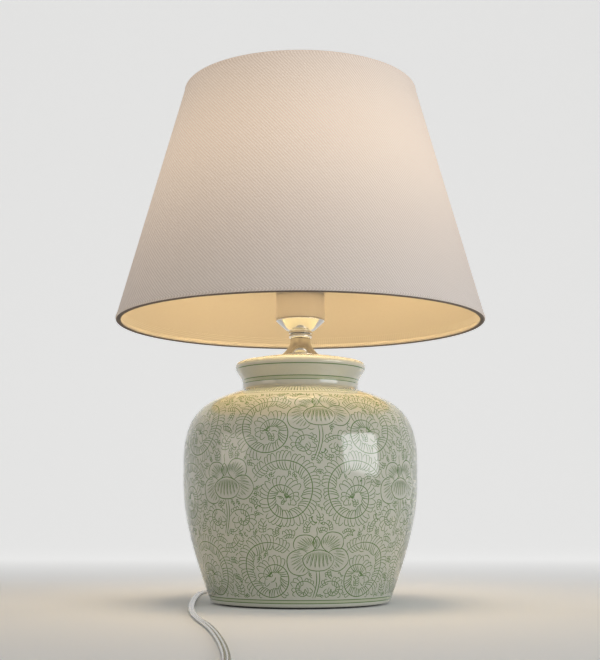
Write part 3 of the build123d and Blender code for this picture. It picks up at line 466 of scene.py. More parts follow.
def outlineTable(run, start=0.0):
    # running length, radius, height and outward normal along an outline
    table = []
    for i, ((r, z), reach) in enumerate(zip(run, runLengths(run, start))):
        (r0, z0), (r1, z1) = run[max(i - 1, 0)], run[min(i + 1, len(run) - 1)]
        span = math.dist((r0, z0), (r1, z1))
        table.append((reach, r, z, (z1 - z0) / span, (r0 - r1) / span))
    return table


jarTable = outlineTable(jarSide(jar), jar["feltTop"] + jar["footEdge"])
jarReach = [row[0] for row in jarTable]


def jarAt(reach):
    i = min(max(bisect.bisect_right(jarReach, reach), 1), len(jarTable) - 1)
    low, high = jarTable[i - 1], jarTable[i]
    t = (reach - low[0]) / (high[0] - low[0])
    return [a + (b - a) * t for a, b in zip(low[1:], high[1:])]


def onJar(angle, reach, proud):
    r, z, outR, outZ = jarAt(reach)
    r, z = r + outR * proud, z + outZ * proud
    return (r * math.sin(angle) * mm, -r * math.cos(angle) * mm, z * mm)


def reachAtHeight(height):
    for low, high in zip(jarTable, jarTable[1:]):
        if low[2] <= height <= high[2]:
            return low[0] + (high[0] - low[0]) * (height - low[2]) / (high[2] - low[2])
    return jarTable[-1][0]


glaze = {
    "rough": 0.125, "roughSpan": 0.05, "coat": 0.6, "coatRough": 0.05, "scale": 520.0, "cloudScale": 14.0,
    "amount": 0.55, "ripple": 34.0, "rippleHeight": 0.00045}


def makeGlaze(name, look, base, tint):
    mat = grainMaterial(name, {**look, "base": base, "tint": tint})
    tree = mat.node_tree
    ripple = noiseNode(tree, placeNode(tree, "Object"), look["ripple"], 1.0)
    normal = bumpNode(tree, ripple, look["rippleHeight"])
    return setShader(mat, {"Coat Roughness": look["coatRough"], "Normal": normal, "Coat Normal": normal})


glazeWhite = makeGlaze("glazeWhite", glaze, (0.63, 0.63, 0.55), (0.535, 0.54, 0.45))
glazeLine = makeGlaze("glazeLine", glaze, (0.105, 0.195, 0.055), (0.155, 0.265, 0.085))
glazeWash = makeGlaze("glazeWash", glaze, (0.54, 0.57, 0.42), (0.48, 0.51, 0.36))


def makeJar(look):
    (recess, recessTop), bottom, edge = look["recess"], look["feltTop"], look["footEdge"]
    outline = joinRuns(
        [(0, recessTop), (recess, recessTop), (recess, bottom)],
        [(recess, bottom), (look["foot"] - edge, bottom)],
        arcRun((look["foot"] - edge, bottom + edge), edge, -90, 0, 8),
        jarSide(look),
        [look["seat"], (0, look["seat"][1])],
    )
    ob = spinOutline("jarBody", outline, look["steps"])
    smoothBy(ob, 40)
    dress(ob, glazeWhite)
    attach(ob, "base")
    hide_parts("jar_body")


makeJar(jar)
say("jar")

# painted rings: height and width in mm
rings = {
    "proud": 0.05,
    "linesOver": 0.02,  # lines lie over the washes
    "linesAt": [(5.1, 0.75), (7.9, 0.75), (202.6, 0.6), (205.9, 0.8), (216.4, 0.9)],
    "thinLinesAt": [(188.5, 0.6), (195.3, 0.6)],
    "washesAt": [(6.5, 2.2), (204.2, 2.6)],
    "ticksFrom": 189.2,
    "tickCount": 168,
    "tickWidth": 0.6,
    "tickLean": 0.35,
    "steps": 192,
}


def layOnGlaze(name, verts, faces, mat):
    ob = meshPiece(name, verts, faces)
    smoothBy(ob, 60)
    dress(ob, mat)
    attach(ob, "base")


def ringBand(verts, faces, height, width, proud, steps):
    first, reach = len(verts), reachAtHeight(height)
    for i in range(steps):
        verts += [onJar(2 * math.pi * i / steps, reach + half, proud) for half in (-width / 2, width / 2)]
        a, b = first + 2 * i, first + 2 * ((i + 1) % steps)
        faces.append((a, b, b + 1, a + 1))


def makeRings(look):
    verts, faces = [], []
    for height, width in look["linesAt"] + look["thinLinesAt"]:
        ringBand(verts, faces, height, width, look["proud"] + look["linesOver"], look["steps"])
    low, high = reachAtHeight(look["ticksFrom"]), reachAtHeight(look["thinLinesAt"][1][0])
    for i in range(look["tickCount"]):
        lean = look["tickLean"] * math.sin(i * 2.4)
        first = len(verts)
        for t in (0.1, 0.5, 0.9):
            reach = low + (high - low) * t
            radius = jarAt(reach)[0]
            middle = 2 * math.pi * i / look["tickCount"] + lean * t / radius
            half = look["tickWidth"] / 2 * (1.1 - 0.4 * t) / radius
            verts += [onJar(middle + way * half, reach, look["proud"]) for way in (-1, 1)]
        faces += [(first + k, first + k + 1, first + k + 3, first + k + 2) for k in (0, 2)]
    layOnGlaze("jarRings", verts, faces, glazeLine)
    verts, faces = [], []
    for height, width in look["washesAt"]:
        ringBand(verts, faces, height, width, look["proud"], look["steps"])
    layOnGlaze("jarWashes", verts, faces, glazeWash)


makeRings(rings)
say("painted rings")

# painted flowers and fronds: a quarter of the way round, in mm, then laid four times
pattern = {
    "rows": [(-15, 54), (48, 9), (111, 54), (174, 9), (237, 54)],  # a flower's reach, and azimuth in degrees
    "clip": (10.0, 186.6),  # reach at the foot, height at the shoulder
    "cell": 1.25,  # of the map that says which stroke is where
    "proud": 0.08,
    "outline": 0.75,
    "spine": 0.8,
    "feather": 0.58,
    "hatch": 0.4,
    "featherStep": 2.9,
    "featherPoints": (0.05, 0.3, 0.55, 0.8, 1.0),  # shares of its length
    "featherLean": (0.3, 1.6),  # towards the spine's end: by its length, and from first to last
    "growOver": (14, 16),  # feathers are shorter this near a spine's start and end
    "bareEnd": 1.5,
    "lobeCounts": (4, 3, 4, 3, 3),  # feathers in each lobe
    "lobeSizes": (1.0, 0.88, 1.07, 0.94),
    "tipSizes": (0.76, 0.96, 1.05, 1.0, 0.84),  # of the feathers across a lobe
    "shrinks": (1.0, 0.86, 0.72, 0.58, 0.46),  # tried in turn where a lobe meets a stroke
    "hatchStarts": (1.0, 1.7, 1.25, 1.9),
    "curlFeathers": (6.6, 7.0),  # lengths outside and inside the bend
    "stemFeathers": (4.6, 4.6),
    "smallFeathers": (5.0, 3.4),
    "stemHalf": (1.45, 0.35),  # half the stem's width, and what it loses on the way down
    "sprigGaps": (5, 4, 3, 3),  # in cells, a lap each
}
# a sprig in a gap, as shares of the way from the gap's middle to the nearest stroke
sprig = {
    "length": 1.75,
    "startBack": 0.8,
    "hook": 0.75,
    "sway": 0.12,
    "bareStart": 0.15,
    "feather": 0.95,
    "longest": 5.6,  # mm
    "step": 0.36,
    "leastStep": 1.6,  # mm
}
# a petal: its middle and half sizes, then its hatching's home, number of lines, and start inside the edge
petals = [
    ((0.3, -3.9), (13.6, 9.4), (0.0, 24.0), 160, 0.04),
    ((-16.4, -5.7), (10.8, 11.6), (-1.5, 5.4), 79, 0.2),
    ((17.0, -3.2), (10.5, 10.2), (1.5, 5.4), 79, 0.2),
    ((-11.7, 10.7), (9.5, 8.2), (-2.4, 4.0), 68, 0.18),
    ((11.6, 12.4), (9.6, 9.0), (3.0, 3.6), 68, 0.18),
]
bud = {
    "at": (-2.1, 12.0),
    "size": (3.0, 5.5),
    "stalk": [(-2.0, 17.6), (-1.8, 20.5), (-2.4, 23.5), (-1.4, 26.0)],
}
# a curl is its centre and then degrees and radius along it
sideCurls = {
    9: ((44.5, -19), [(131, 30.5), (110, 31.5), (90, 31), (60, 28.6), (25, 23.2), (-5, 19.6), (-45, 18),
                      (-90, 18.2), (-120, 18.6), (-150, 19), (-180, 18.4), (-205, 17.2), (-230, 14.6),
                      (-255, 11.4), (-280, 8.6), (-315, 6.1), (-360, 4.3), (-410, 2.4)]),
    54: ((58.3, -13), [(150, 35), (120, 34), (90, 32), (60, 29), (25, 23), (-5, 19), (-45, 17), (-90, 17),
                       (-120, 17.8), (-150, 18.2), (-180, 17.9), (-205, 17.2), (-230, 14.6), (-255, 11.2),
                       (-280, 8.6), (-315, 6.2), (-360, 4.3), (-410, 2.4)]),
}
smallCurls = [
    ((-12.1, -30.0), [(8, 10.6), (45, 8.6), (90, 7.8), (135, 7.8), (180, 7.6), (225, 7.0), (270, 6.0),
                      (340, 4.4), (400, 3.0)], 1),
    ((15.0, -30.0), [(172, 12.6), (135, 9.4), (90, 7.6), (45, 7.6), (0, 7.4), (-45, 6.8), (-90, 5.8),
                     (-160, 4.2), (-220, 2.8)], -1),
]
stemRun = [(0, -13.2), (0.9, -20), (0.5, -27), (-1.4, -35), (-4.3, -43)]
quarter = math.pi / 2
cellsRound = round(quarter * 100 / pattern["cell"])
clipLow, clipHigh = pattern["clip"][0], reachAtHeight(pattern["clip"][1])
taken = {}
strokes = []


def cellOf(angle, reach):
    return math.floor(angle / quarter * cellsRound) % cellsRound, math.floor(reach / pattern["cell"])


def localMap(row):
    reach, azimuth = row
    radius = jarAt(min(max(reach, clipLow + 20), clipHigh - 20))[0]
    return lambda x, y: (math.radians(azimuth) + x / radius, reach + y)


def densify(points, step=0.6):
    fine = [points[0]]
    for (x0, y0), (x1, y1) in zip(points, points[1:]):
        count = max(1, math.ceil(math.dist((x0, y0), (x1, y1)) / step))
        fine += [(x0 + (x1 - x0) * i / count, y0 + (y1 - y0) * i / count) for i in range(1, count + 1)]
    return fine


def paint(place, points, width, owner, root=None):
    # keeps what is on the jar; a stroke with a root also ends where it meets another past that root
    kept, travelled = [], 0.0
    fine = densify(points)
    for i, point in enumerate(fine):
        if i:
            travelled += math.dist(fine[i - 1], point)
        angle, reach = place(*point)
        blocked = root is not None and travelled > root and taken.get(cellOf(angle, reach), owner) != owner
        if blocked or not clipLow <= reach <= clipHigh:
            if kept and root is not None:
                break
            if len(kept) > 2:
                strokes.append((kept, width))
            kept = []
            continue
        kept.append((angle, reach))
    if len(kept) > 2:
        strokes.append((kept, width))
    for spot in [place(*point) for point in fine] if root is None else kept:
        taken.setdefault(cellOf(*spot), owner)


def catmull(table, count):
    # smooth run through a short list of points
    points = [table[0], *table, table[-1]]
    run = []
    for ends in zip(points, points[1:], points[2:], points[3:]):
        for i in range(count):
            t = i / count
            run.append(tuple(0.5 * (2 * q + (r - p) * t + (2 * p - 5 * q + 4 * r - s) * t * t
                                    + (3 * q - p - 3 * r + s) * t ** 3) for p, q, r, s in zip(*ends)))
    run.append(table[-1])
    return run


def inPetal(petal, x, y, grow=1.0):
    (cx, cy), (rx, ry) = petal[:2]
    return ((x - cx) / rx) ** 2 + ((y - cy) / ry) ** 2 < grow


def paintBehind(front, place, points, width):
    # paints the stretches of a line that no petal in front covers
    runs = [[]]
    for point in points:
        if any(inPetal(petal, *point) for petal in front):
            runs.append([])
        else:
            runs[-1].append(point)
    for run in runs:
        if len(run) > 1:
            paint(place, run, pattern[width], "flower")


def paintFlower(place):
    for i, petal in enumerate(petals):
        front = petals[:i]
        (cx, cy), (rx, ry), home, count, inside = petal
        edge = []
        for a in (2 * math.pi * k / 72 for k in range(73)):
            wave = 1 + 0.018 * math.sin(5 * a + i)
            edge.append((cx + rx * wave * math.cos(a), cy + ry * wave * math.sin(a)))
        paintBehind(front, place, edge, "outline")
        # hatching fans out from the petal's home
        far = math.dist(home, (cx, cy)) + max(rx, ry)
        for k in range(count):
            a = 2 * math.pi * k / count
            hits = [s / 4 for s in range(int(4 * far)) if inPetal(petal, *around(home, s / 4, a), 0.86)]
            if not hits or hits[-1] - hits[0] < 3:
                continue
            span = hits[-1] - hits[0]
            low = hits[0] + span * inside * pattern["hatchStarts"][k % 4]
            high = hits[0] + span * (0.86 + 0.04 * math.sin(3.7 * k))
            bow = 0.04 * math.sin(2.1 * k)
            line = [around(home, low + (high - low) * j / 4, a + bow * j / 4) for j in range(5)]
            paintBehind(front, place, line, "hatch")
        # the ground under a petal stays clear of fronds
        for gx in range(int(-rx), int(rx) + 1):
            for gy in range(int(-ry), int(ry) + 1):
                if inPetal(petal, cx + gx, cy + gy):
                    taken.setdefault(cellOf(*place(cx + gx, cy + gy)), "flower")
    (cx, cy), (wide, tall) = bud["at"], bud["size"]
    side = [(cx + wide * (1 - t * t) ** 0.8, cy + tall * t) for t in (k / 24 * 2 - 1 for k in range(25))]
    paintBehind(petals[:3], place, side + [(2 * cx - x, y) for x, y in reversed(side)], "outline")
    for k in (-1, 0, 1):
        line = [(cx + k * 1.1, cy - 3.5), (cx + k * 1.3, cy), (cx + k * 0.7, cy + 3)]
        paint(place, line, pattern["hatch"], "flower")
    paint(place, catmull(bud["stalk"], 4), pattern["feather"], "stalk", root=1.5)


def atLength(points, reach, s):
    # place and direction at a length along a run
    i = min(max(bisect.bisect_right(reach, s), 1), len(points) - 1)
    (x0, y0), (x1, y1) = points[i - 1], points[i]
    span = reach[i] - reach[i - 1]
    t = (s - reach[i - 1]) / span
    return (x0 + (x1 - x0) * t, y0 + (y1 - y0) * t), ((x1 - x0) / span, (y1 - y0) / span)


def featherPlan(place, points, owner, sizes, turn, lead=3.0, step=pattern["featherStep"]):
    # where lobes of three or four feathers stand along a spine; turn is the side outside the curl
    reach = runLengths(points)
    total = reach[-1]
    growIn, growOut = pattern["growOver"]
    plan = []
    for side, size in zip((turn, -turn), sizes):
        start, lobe = lead, 0
        while start < total - pattern["bareEnd"]:
            count = pattern["lobeCounts"][lobe % 5]
            grow = min(1.0, 0.5 + start / growIn, 0.5 + (total - start) / growOut)
            length = size * grow * pattern["lobeSizes"][lobe % 4]
            plan.append((start / total, place, (points, reach), (owner, side),
                         (side, start, count, length, step)))
            start += step * (count + 0.35)
            lobe += 1
    return plan


def lobeLines(spine, side, start, count, length, step):
    # each feather runs out from the spine and over to the next one's tip
    points, reach = spine
    lean, fan = pattern["featherLean"]
    tips = []
    for k in range(count + 1):
        (x, y), (tx, ty) = atLength(points, reach, min(start + k * step * 0.86, reach[-1]))
        nx, ny = -ty * side, tx * side
        out = length * pattern["tipSizes"][k]
        over = out * lean + (k / count - 0.4) * fan
        tips.append([(x + nx * out * u + tx * over * u * u, y + ny * out * u + ty * over * u * u, nx, ny)
                     for u in pattern["featherPoints"]])
    lines = []
    for k in range(count):
        (x, y, nx, ny), (nextX, nextY) = tips[k][-1], tips[k + 1][-1][:2]
        bulge = 0.38 * math.dist((x, y), (nextX, nextY))
        cap = [(0.2, bulge * 0.8), (0.55, bulge), (0.93, 0.0)]  # share of the way over, and how far out
        if k == count - 1:
            cap[-1:] = [(0.8, -1.2), (0.7, -0.4 * length)]
        lines.append([p[:2] for p in tips[k]] + [
            (x + (nextX - x) * t + nx * out, y + (nextY - y) * t + ny * out) for t, out in cap])
    return lines


def isClear(place, line, owner, root):
    # whether a feather has free ground under it and a little past it
    travelled = 0.0
    for before, point, after in zip(line, line[1:], line[2:] + [line[-1]]):
        travelled += math.dist(before, point)
        if travelled < root:
            continue
        ahead = (2 * point[0] - before[0], 2 * point[1] - before[1]) if after == point else after
        for x, y in (point, ((point[0] + ahead[0]) / 2, (point[1] + ahead[1]) / 2)):
            angle, reach = place(x, y)
            if taken.get(cellOf(angle, reach), owner) != owner or not clipLow <= reach <= clipHigh:
                return False
    return True


def paintLobes(plan, width, root):
    # a lobe that meets another stroke is drawn smaller, and the smallest may lack a feather or two
    for _, place, spine, owner, (side, start, count, length, step) in sorted(plan, key=lambda item: item[0]):
        for shrink in pattern["shrinks"]:
            lines = lobeLines(spine, side, start, count, length * shrink, step)
            clear = [isClear(place, line, owner, root) for line in lines]
            if all(clear) or shrink < 0.6 and sum(clear) > 1:
                for line in (line for line, free in zip(lines, clear) if free):
                    paint(place, line, width, owner)
                break


def curlRun(centre, table, mirror, count):
    curl = [around(centre, r, math.radians(a)) for a, r in catmull(table, count)]
    return [(mirror * x, y) for x, y in curl]


def cellsApart(a, b):
    return abs(a[1] - b[1]) + min((a[0] - b[0]) % cellsRound, (b[0] - a[0]) % cellsRound)


def openSpots(leastGap):
    # middles of the gaps between strokes, the widest first, each with the nearest painted cell
    low, high = math.ceil(clipLow / pattern["cell"]) + 1, math.floor(clipHigh / pattern["cell"]) - 1
    gap = {cell: (0, cell) for cell in taken}
    edge = list(taken)
    while edge:
        wider = []
        for i, j in edge:
            for cell in (((i + 1) % cellsRound, j), ((i - 1) % cellsRound, j), (i, j + 1), (i, j - 1)):
                if low <= cell[1] <= high and cell not in gap:
                    gap[cell] = (gap[(i, j)][0] + 1, gap[(i, j)][1])
                    wider.append(cell)
        edge = wider
    spots = []
    for cell, (width, root) in sorted(gap.items(), key=lambda item: (-item[1][0], item[0])):
        if width < leastGap:
            break
        if all(cellsApart(other, cell) >= 2.4 * width for other, _ in spots):
            spots.append((cell, root))
    return spots


def paintSprig(spot, root, owner):
    # a short frond that grows from the nearest stroke into the gap and hooks over
    angle, reach = (spot[0] + 0.5) / cellsRound * quarter, (spot[1] + 0.5) * pattern["cell"]
    radius = jarAt(reach)[0]
    aside = (spot[0] - root[0] + cellsRound // 2) % cellsRound - cellsRound // 2
    dx, dy = aside / cellsRound * quarter * radius, (spot[1] - root[1]) * pattern["cell"]
    size = math.hypot(dx, dy)
    dx, dy = dx / size, dy / size
    turn = 1 if (spot[0] + spot[1]) % 2 else -1

    def place(x, y):
        return angle + x / radius, reach + y

    spine = []
    for t in (k / 8 for k in range(9)):
        ahead = (sprig["length"] * t - sprig["startBack"]) * size
        bend = turn * (sprig["hook"] * t ** 3 - sprig["sway"] * math.sin(math.pi * t)) * size
        spine.append((dx * ahead - dy * bend, dy * ahead + dx * bend))
    paint(place, spine, pattern["feather"] * 1.1, owner, root=1.2)
    length = min(sprig["feather"] * size, sprig["longest"])
    step = min(pattern["featherStep"], max(sprig["leastStep"], sprig["step"] * size))
    plan = featherPlan(place, spine, owner, (length, length), turn, sprig["bareStart"] * size, step)
    paintLobes(plan, pattern["feather"], 1.0)


def paintGround():
    plan = []
    places = [localMap(row) for row in pattern["rows"]]
    for place in places:
        paintFlower(place)
    for i, place in enumerate(places):
        centre, table = sideCurls[pattern["rows"][i][1]]
        for mirror in (1, -1):
            owner = f"curl{i}{mirror}"
            run = curlRun(centre, table, mirror, 6)
            paint(place, run, pattern["spine"], owner)
            plan += featherPlan(place, run, owner, pattern["curlFeathers"], mirror)
        stem, owner = catmull(stemRun, 5), f"stem{i}"
        half, less = pattern["stemHalf"]
        for side in (-1, 1):
            line = [(x + side * (half - less * k / len(stem)), y) for k, (x, y) in enumerate(stem)]
            paint(place, line, pattern["spine"] * 0.9, owner)
        plan += featherPlan(place, stem, owner, pattern["stemFeathers"], 1, lead=2.0)
        for k, (centre, table, turn) in enumerate(smallCurls):
            owner = f"small{i}{k}"
            run = curlRun(centre, table, 1, 5)
            paint(place, run, pattern["spine"] * 0.85, owner)
            plan += featherPlan(place, run, owner, pattern["smallFeathers"], -turn, lead=1.5)
    paintLobes(plan, pattern["feather"], 1.8)
    for lap, leastGap in enumerate(pattern["sprigGaps"]):
        for n, (spot, root) in enumerate(openSpots(leastGap)):
            paintSprig(spot, root, f"sprig{lap}-{n}")


def ribbon(verts, faces, points, width, turnBy):
    # a flat stroke, thinner at its ends, laid on the glaze
    if len(points) > 4:
        points = points[::2] + ([points[-1]] if len(points) % 2 == 0 else [])
    first, count = len(verts), len(points)
    for i, (angle, reach) in enumerate(points):
        (a0, r0), (a1, r1) = points[max(i - 1, 0)], points[min(i + 1, count - 1)]
        radius = jarAt(reach)[0]
        along = ((a1 - a0) * radius, r1 - r0)
        span = math.hypot(*along) or 1.0
        u = i / (count - 1)
        half = width / 2 * (0.5 + 0.5 * min(1.0, 5 * u, 5 * (1 - u)))
        across = (-along[1] / span * half / radius, along[0] / span * half)
        verts += [onJar(angle + way * across[0] + turnBy, reach + way * across[1], pattern["proud"])
                  for way in (1, -1)]
    faces += [(a, a + 1, a + 3, a + 2) for a in (first + 2 * i for i in range(count - 1))]


def makePattern():
    paintGround()
    for turn, name in enumerate(("Front", "Right", "Back", "Left")):
        verts, faces = [], []
        for points, width in strokes:
            ribbon(verts, faces, points, width, turn * quarter)
        layOnGlaze("jarPattern" + name, verts, faces, glazeLine)
    say(f"pattern: {len(strokes)} strokes a quarter, {len(faces) * 2} triangles a piece")


makePattern()

# the chrome stem, in mm
stem = {
    "bore": 5.3,
    "seat": 230.4,
    "footRadius": 18.2,
    "rim": 1.0,
    "height": 16.1,
    "waist": 9.6,
    "waistLength": 2.0,
    "bead": (11.0, 5.3),
    "cupNeck": 10.8,
    "cupFoot": 14.1,
    "cupLip": 23.3,
    "cupHeight": 13.2,
    "cupWall": 1.2,
    "cupOutside": (2.3, 3.6),  # heights of its neck's top and its bowl's foot above the bead
    "cupInside": (1.5, 2.9, 5.0),  # heights of its floor, its neck's top and its bowl's foot
    "cupBends": {1: 0.3, 2: 0.3, 3: 1.2, 4: 0.6, 5: 0.4},  # which corners are rounded, and by how much
    "steps": 128,
}

chrome = grainMaterial("chrome", {
    "base": (0.78, 0.77, 0.74), "tint": (0.62, 0.61, 0.58), "rough": 0.07, "roughSpan": 0.04, "metal": 1.0,
    "scale": 900.0, "cloudScale": 60.0, "amount": 0.35, "bump": 0.000004})


def softened(points, bends):
    # closed outline with a small bend in place of each corner that bends names
    soft = []
    for i, corner in enumerate(points):
        if i not in bends:
            soft.append(corner)
            continue
        ends = []
        for other in (points[i - 1], points[(i + 1) % len(points)]):
            t = min(bends[i] / math.dist(corner, other), 0.45)
            ends.append((corner[0] + (other[0] - corner[0]) * t, corner[1] + (other[1] - corner[1]) * t))
        soft += bezierRun([ends[0], corner, corner, ends[1]], 4)
    return soft


def makeTurned(name, outline, mat, body, replaced, steps, angle=30):
    ob = spinOutline(name, outline, steps, closed=True)
    smoothBy(ob, angle)
    dress(ob, mat)
    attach(ob, body)
    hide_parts(replaced)


def makeStem(look):
    bore, seat, foot, rise, waist = (look[k] for k in ("bore", "seat", "footRadius", "height", "waist"))
    rim, top, spread = seat + look["rim"], seat + rise, foot - waist
    edge = bezierRun([(foot, rim - 0.6), (foot, rim - 0.2), (foot - 0.2, rim), (foot - 0.5, rim + 0.1)], 4)
    flare = bezierRun([(foot - 0.5, rim + 0.1), (foot - 0.32 * spread, seat + 0.19 * rise),
                       (waist + 0.09 * spread, seat + 0.47 * rise), (waist, top - look["waistLength"])], 26)
    makeTurned("stemFoot", [(bore, seat), (foot, seat)] + edge + flare[1:] + [(waist, top), (bore, top)],
               chrome, "base", "stem_foot", look["steps"])
    radius, height = look["bead"]
    low, half = top + height, height / 2
    bead = [(bore, top)] + arcRun((radius - half, top + half), half, -90, 90, 16) + [(bore, low)]
    makeTurned("stemBead", bead, chrome, "base", "stem_bead", look["steps"])
    neck, base, lip, high = look["cupNeck"], look["cupFoot"], look["cupLip"], low + look["cupHeight"]
    wall = look["cupWall"]
    outNeck, outFoot = (low + rise for rise in look["cupOutside"])
    floor, inNeck, inFoot = (low + rise for rise in look["cupInside"])
    cup = [(bore, low), (neck, low), (neck, outNeck), (base, outFoot), (lip, high - wall), (lip, high),
           (lip - wall, high), (lip - wall, high - wall / 2), (base - wall, inFoot), (neck - wall, inNeck),
           (neck - wall, floor), (bore, floor)]
    makeTurned("holderCup", softened(cup, look["cupBends"]), chrome, "base", "holder_cup",
               look["steps"])


makeStem(stem)
say("chrome stem")

# the lampholder, in mm
holder = {
    "bottom": 265.0,
    "capHeight": 24.0,
    "capBend": 1.3,
    "radius": 23.3,
    "wall": 2.0,
    "floor": 2.5,
    "rod": 5.0,
    "flange": 7.0,
    "collar": 19.8,
    "collarHeight": 22.0,
    "bore": 16.8,
    "threadPitch": 2.8,
    "threadDepth": 0.55,
    "threadEnds": (2.0, 3.5),  # plain collar below and above the thread
}

# painted shade and painted warm light: the white plastic is toned darker and warmer than white, as the
# lampholder sits in the shade's shadow and takes the bulb's warm light
whitePlasticShaded = grainMaterial("whitePlasticShaded", {
    "base": (0.46, 0.41, 0.345), "tint": (0.41, 0.36, 0.30), "rough": 0.38, "roughSpan": 0.1,
    "scale": 700.0, "cloudScale": 30.0, "amount": 0.4, "bump": 0.00001})


def makeHolder(look):
    bottom, radius, wall, rod = look["bottom"], look["radius"], look["wall"], look["rod"]
    top, floor = bottom + look["capHeight"], bottom + look["floor"]
    cap = [(rod, bottom), (radius, bottom), (radius, top - 0.4), (radius - 0.3, top), (radius - wall, top),
           (radius - wall, floor), (rod, floor)]
    makeTurned("holderCap", softened(cap, {1: look["capBend"]}), whitePlasticShaded, "base",
               "holder_cap", 128)
    shoulder, collar, bore = top + look["flange"], look["collar"], look["bore"]
    high, root = shoulder + look["collarHeight"], collar - look["threadDepth"]
    thread, z = [], shoulder + look["threadEnds"][0]
    while z < high - look["threadEnds"][1]:
        thread += [(collar, z), (root, z + 0.5), (root, z + 1.0), (collar, z + 1.5)]
        z += look["threadPitch"]
    skirt = [(radius - wall, top), (radius - 0.3, top), (radius, top + 0.4), (radius, shoulder - 0.8),
             (radius - 0.8, shoulder), (collar, shoulder), *thread, (collar, high - 1), (collar - 1, high),
             (bore, high), (bore, shoulder - wall), (radius - wall, shoulder - wall)]
    makeTurned("holderSkirt", skirt, whitePlasticShaded, "base", "holder_skirt", 96)


makeHolder(holder)
say("lampholder")

# the shade, in mm
shade = {
    "bottom": (175.0, 261.0),
    "top": (112.0, 492.0),
    "skin": 0.5,
    "backing": 1.0,
    "roll": 2.3,  # radius of the cloth rolled round a rim's wire
    "proud": 0.4,
    "fold": 6.5,  # turned in over the lining
    "foldGap": 0.35,  # between the lining and the turned-in cloth
    "leg": 4.5,  # from a rim's wire to where the roll joins the cone
    "steps": 192,
}
shadeSlope = (shade["bottom"][0] - shade["top"][0]) / (shade["top"][1] - shade["bottom"][1])
shadeLean = math.atan(shadeSlope)


def shadeRadius(height):
    return shade["bottom"][0] - shadeSlope * (height - shade["bottom"][1])


def ringPlace(end):
    # radius and height of the wire in the top rim, end 1, or the bottom rim, end -1
    height = shade["top"][1] - shade["roll"] if end > 0 else shade["bottom"][1] + shade["roll"]
    return shadeRadius(height) + shade["proud"] - shade["roll"], height


def clothLine(look):
    # the skin's outer face: fold inside the top, round the wire, down the cone, round the wire, fold inside
    inset = (look["skin"] + look["backing"] + look["foldGap"]) / math.cos(shadeLean)
    line = []
    for end in (1, -1):
        wire = ringPlace(end)
        fold = [(shadeRadius(z) - inset, z) for z in (wire[1] - end * (look["roll"] + look["fold"]),
                                                      wire[1] - end * look["roll"])]
        leg = wire[1] - end * look["leg"]
        run = fold + arcRun(wire, look["roll"], end * 172, -end * 12, 18) + [(shadeRadius(leg), leg)]
        line += run[::end]
    return line


def coneUv(ob):
    # the cloth's flat cut: the cone unrolled, in units of 100 mm, with its seam at the back
    uv = ob.data.uv_layers.new(name="flatCut")
    for loop in ob.data.loops:
        x, y, _ = ob.data.vertices[loop.vertex_index].co / mm
        angle = math.atan2(x, -y) * math.sin(shadeLean)
        slant = math.hypot(x, y) / math.sin(shadeLean)
        uv.data[loop.index].uv = (slant * math.sin(angle) / 100, -slant * math.cos(angle) / 100)
    # faces across the back seam keep to one side of it
    for face in ob.data.polygons:
        xs = [uv.data[i].uv.x for i in face.loop_indices]
        if max(xs) - min(xs) > 2:
            for i in face.loop_indices:
                uv.data[i].uv.x = abs(uv.data[i].uv.x)


def makePaintedGlowGroup():
    # painted bulb light: how strongly the bulb would light a point of the shade, 1 on the cloth at the bulb's
    # height; the shade's materials give it off as emission
    group, into, out = newGroup("paintedBulbGlow", {"Bulb Height": 0.367, "Full At": 0.146, "Spread": 1.0},
                                {"Glow": "NodeSocketFloat"})
    bulb = addNode(group, "ShaderNodeCombineXYZ", {"Z": into["Bulb Height"]}).outputs[0]
    away = addNode(group, "ShaderNodeVectorMath", {0: placeNode(group, "Object"), 1: bulb},
                   operation="DISTANCE").outputs["Value"]
    ratio = mathNode(group, "DIVIDE", into["Full At"], away)
    feed(group, out, {"Glow": mathNode(group, "POWER", ratio, into["Spread"])})
    return group


def makeTwillGroup():
    # diagonal weave: a raised line for each turn of the twill, broken by the crossing yarns
    group, into, out = newGroup("twillWeave", {"Yarns": 80.0, "Angle": 0.9},
                                {"Height": "NodeSocketFloat", "Slub": "NodeSocketFloat"})
    flat = placeNode(group, "UV")
    split = splitNode(group, flat)
    across, along = (mathNode(group, "MULTIPLY", split[axis], into["Yarns"]) for axis in "XY")
    diagonal = mathNode(group, "ADD", across, mathNode(group, "MULTIPLY", along, into["Angle"]))
    wave = mathNode(group, "SINE", mathNode(group, "MULTIPLY", diagonal, 2 * math.pi))
    ends = mathNode(group, "SINE", mathNode(group, "MULTIPLY", along, 4 * math.pi))
    height = mathNode(group, "ADD", mathNode(group, "MULTIPLY_ADD", wave, 0.38, 0.5),
                      mathNode(group, "MULTIPLY", ends, 0.1))
    stretch = addNode(group, "ShaderNodeMapping", {"Vector": flat, "Scale": (1.0, 14.0, 1.0)}).outputs[0]
    feed(group, out, {"Height": height, "Slub": noiseNode(group, stretch, 3.0, 4.0)})
    return group


paintedGlowGroup = makePaintedGlowGroup()
twillGroup = makeTwillGroup()


def addPaintedGlow(mat, look):
    # painted bulb light, given off as emission: paler near the bulb, deeper further off
    tree = mat.node_tree
    glow = addNode(tree, "ShaderNodeGroup", {"Spread": look["spread"], "Bulb Height": look["bulbHeight"]},
                   node_tree=paintedGlowGroup).outputs["Glow"]
    hue = mixNode(tree, glow, look["deep"], look["warm"])
    grey = addNode(tree, "ShaderNodeCombineColor", {0: glow, 1: glow, 2: glow}).outputs[0]
    return setShader(mat, {"Emission Color": mixNode(tree, 1.0, hue, grey, blend_type="MULTIPLY"),
                           "Emission Strength": look["glow"]})


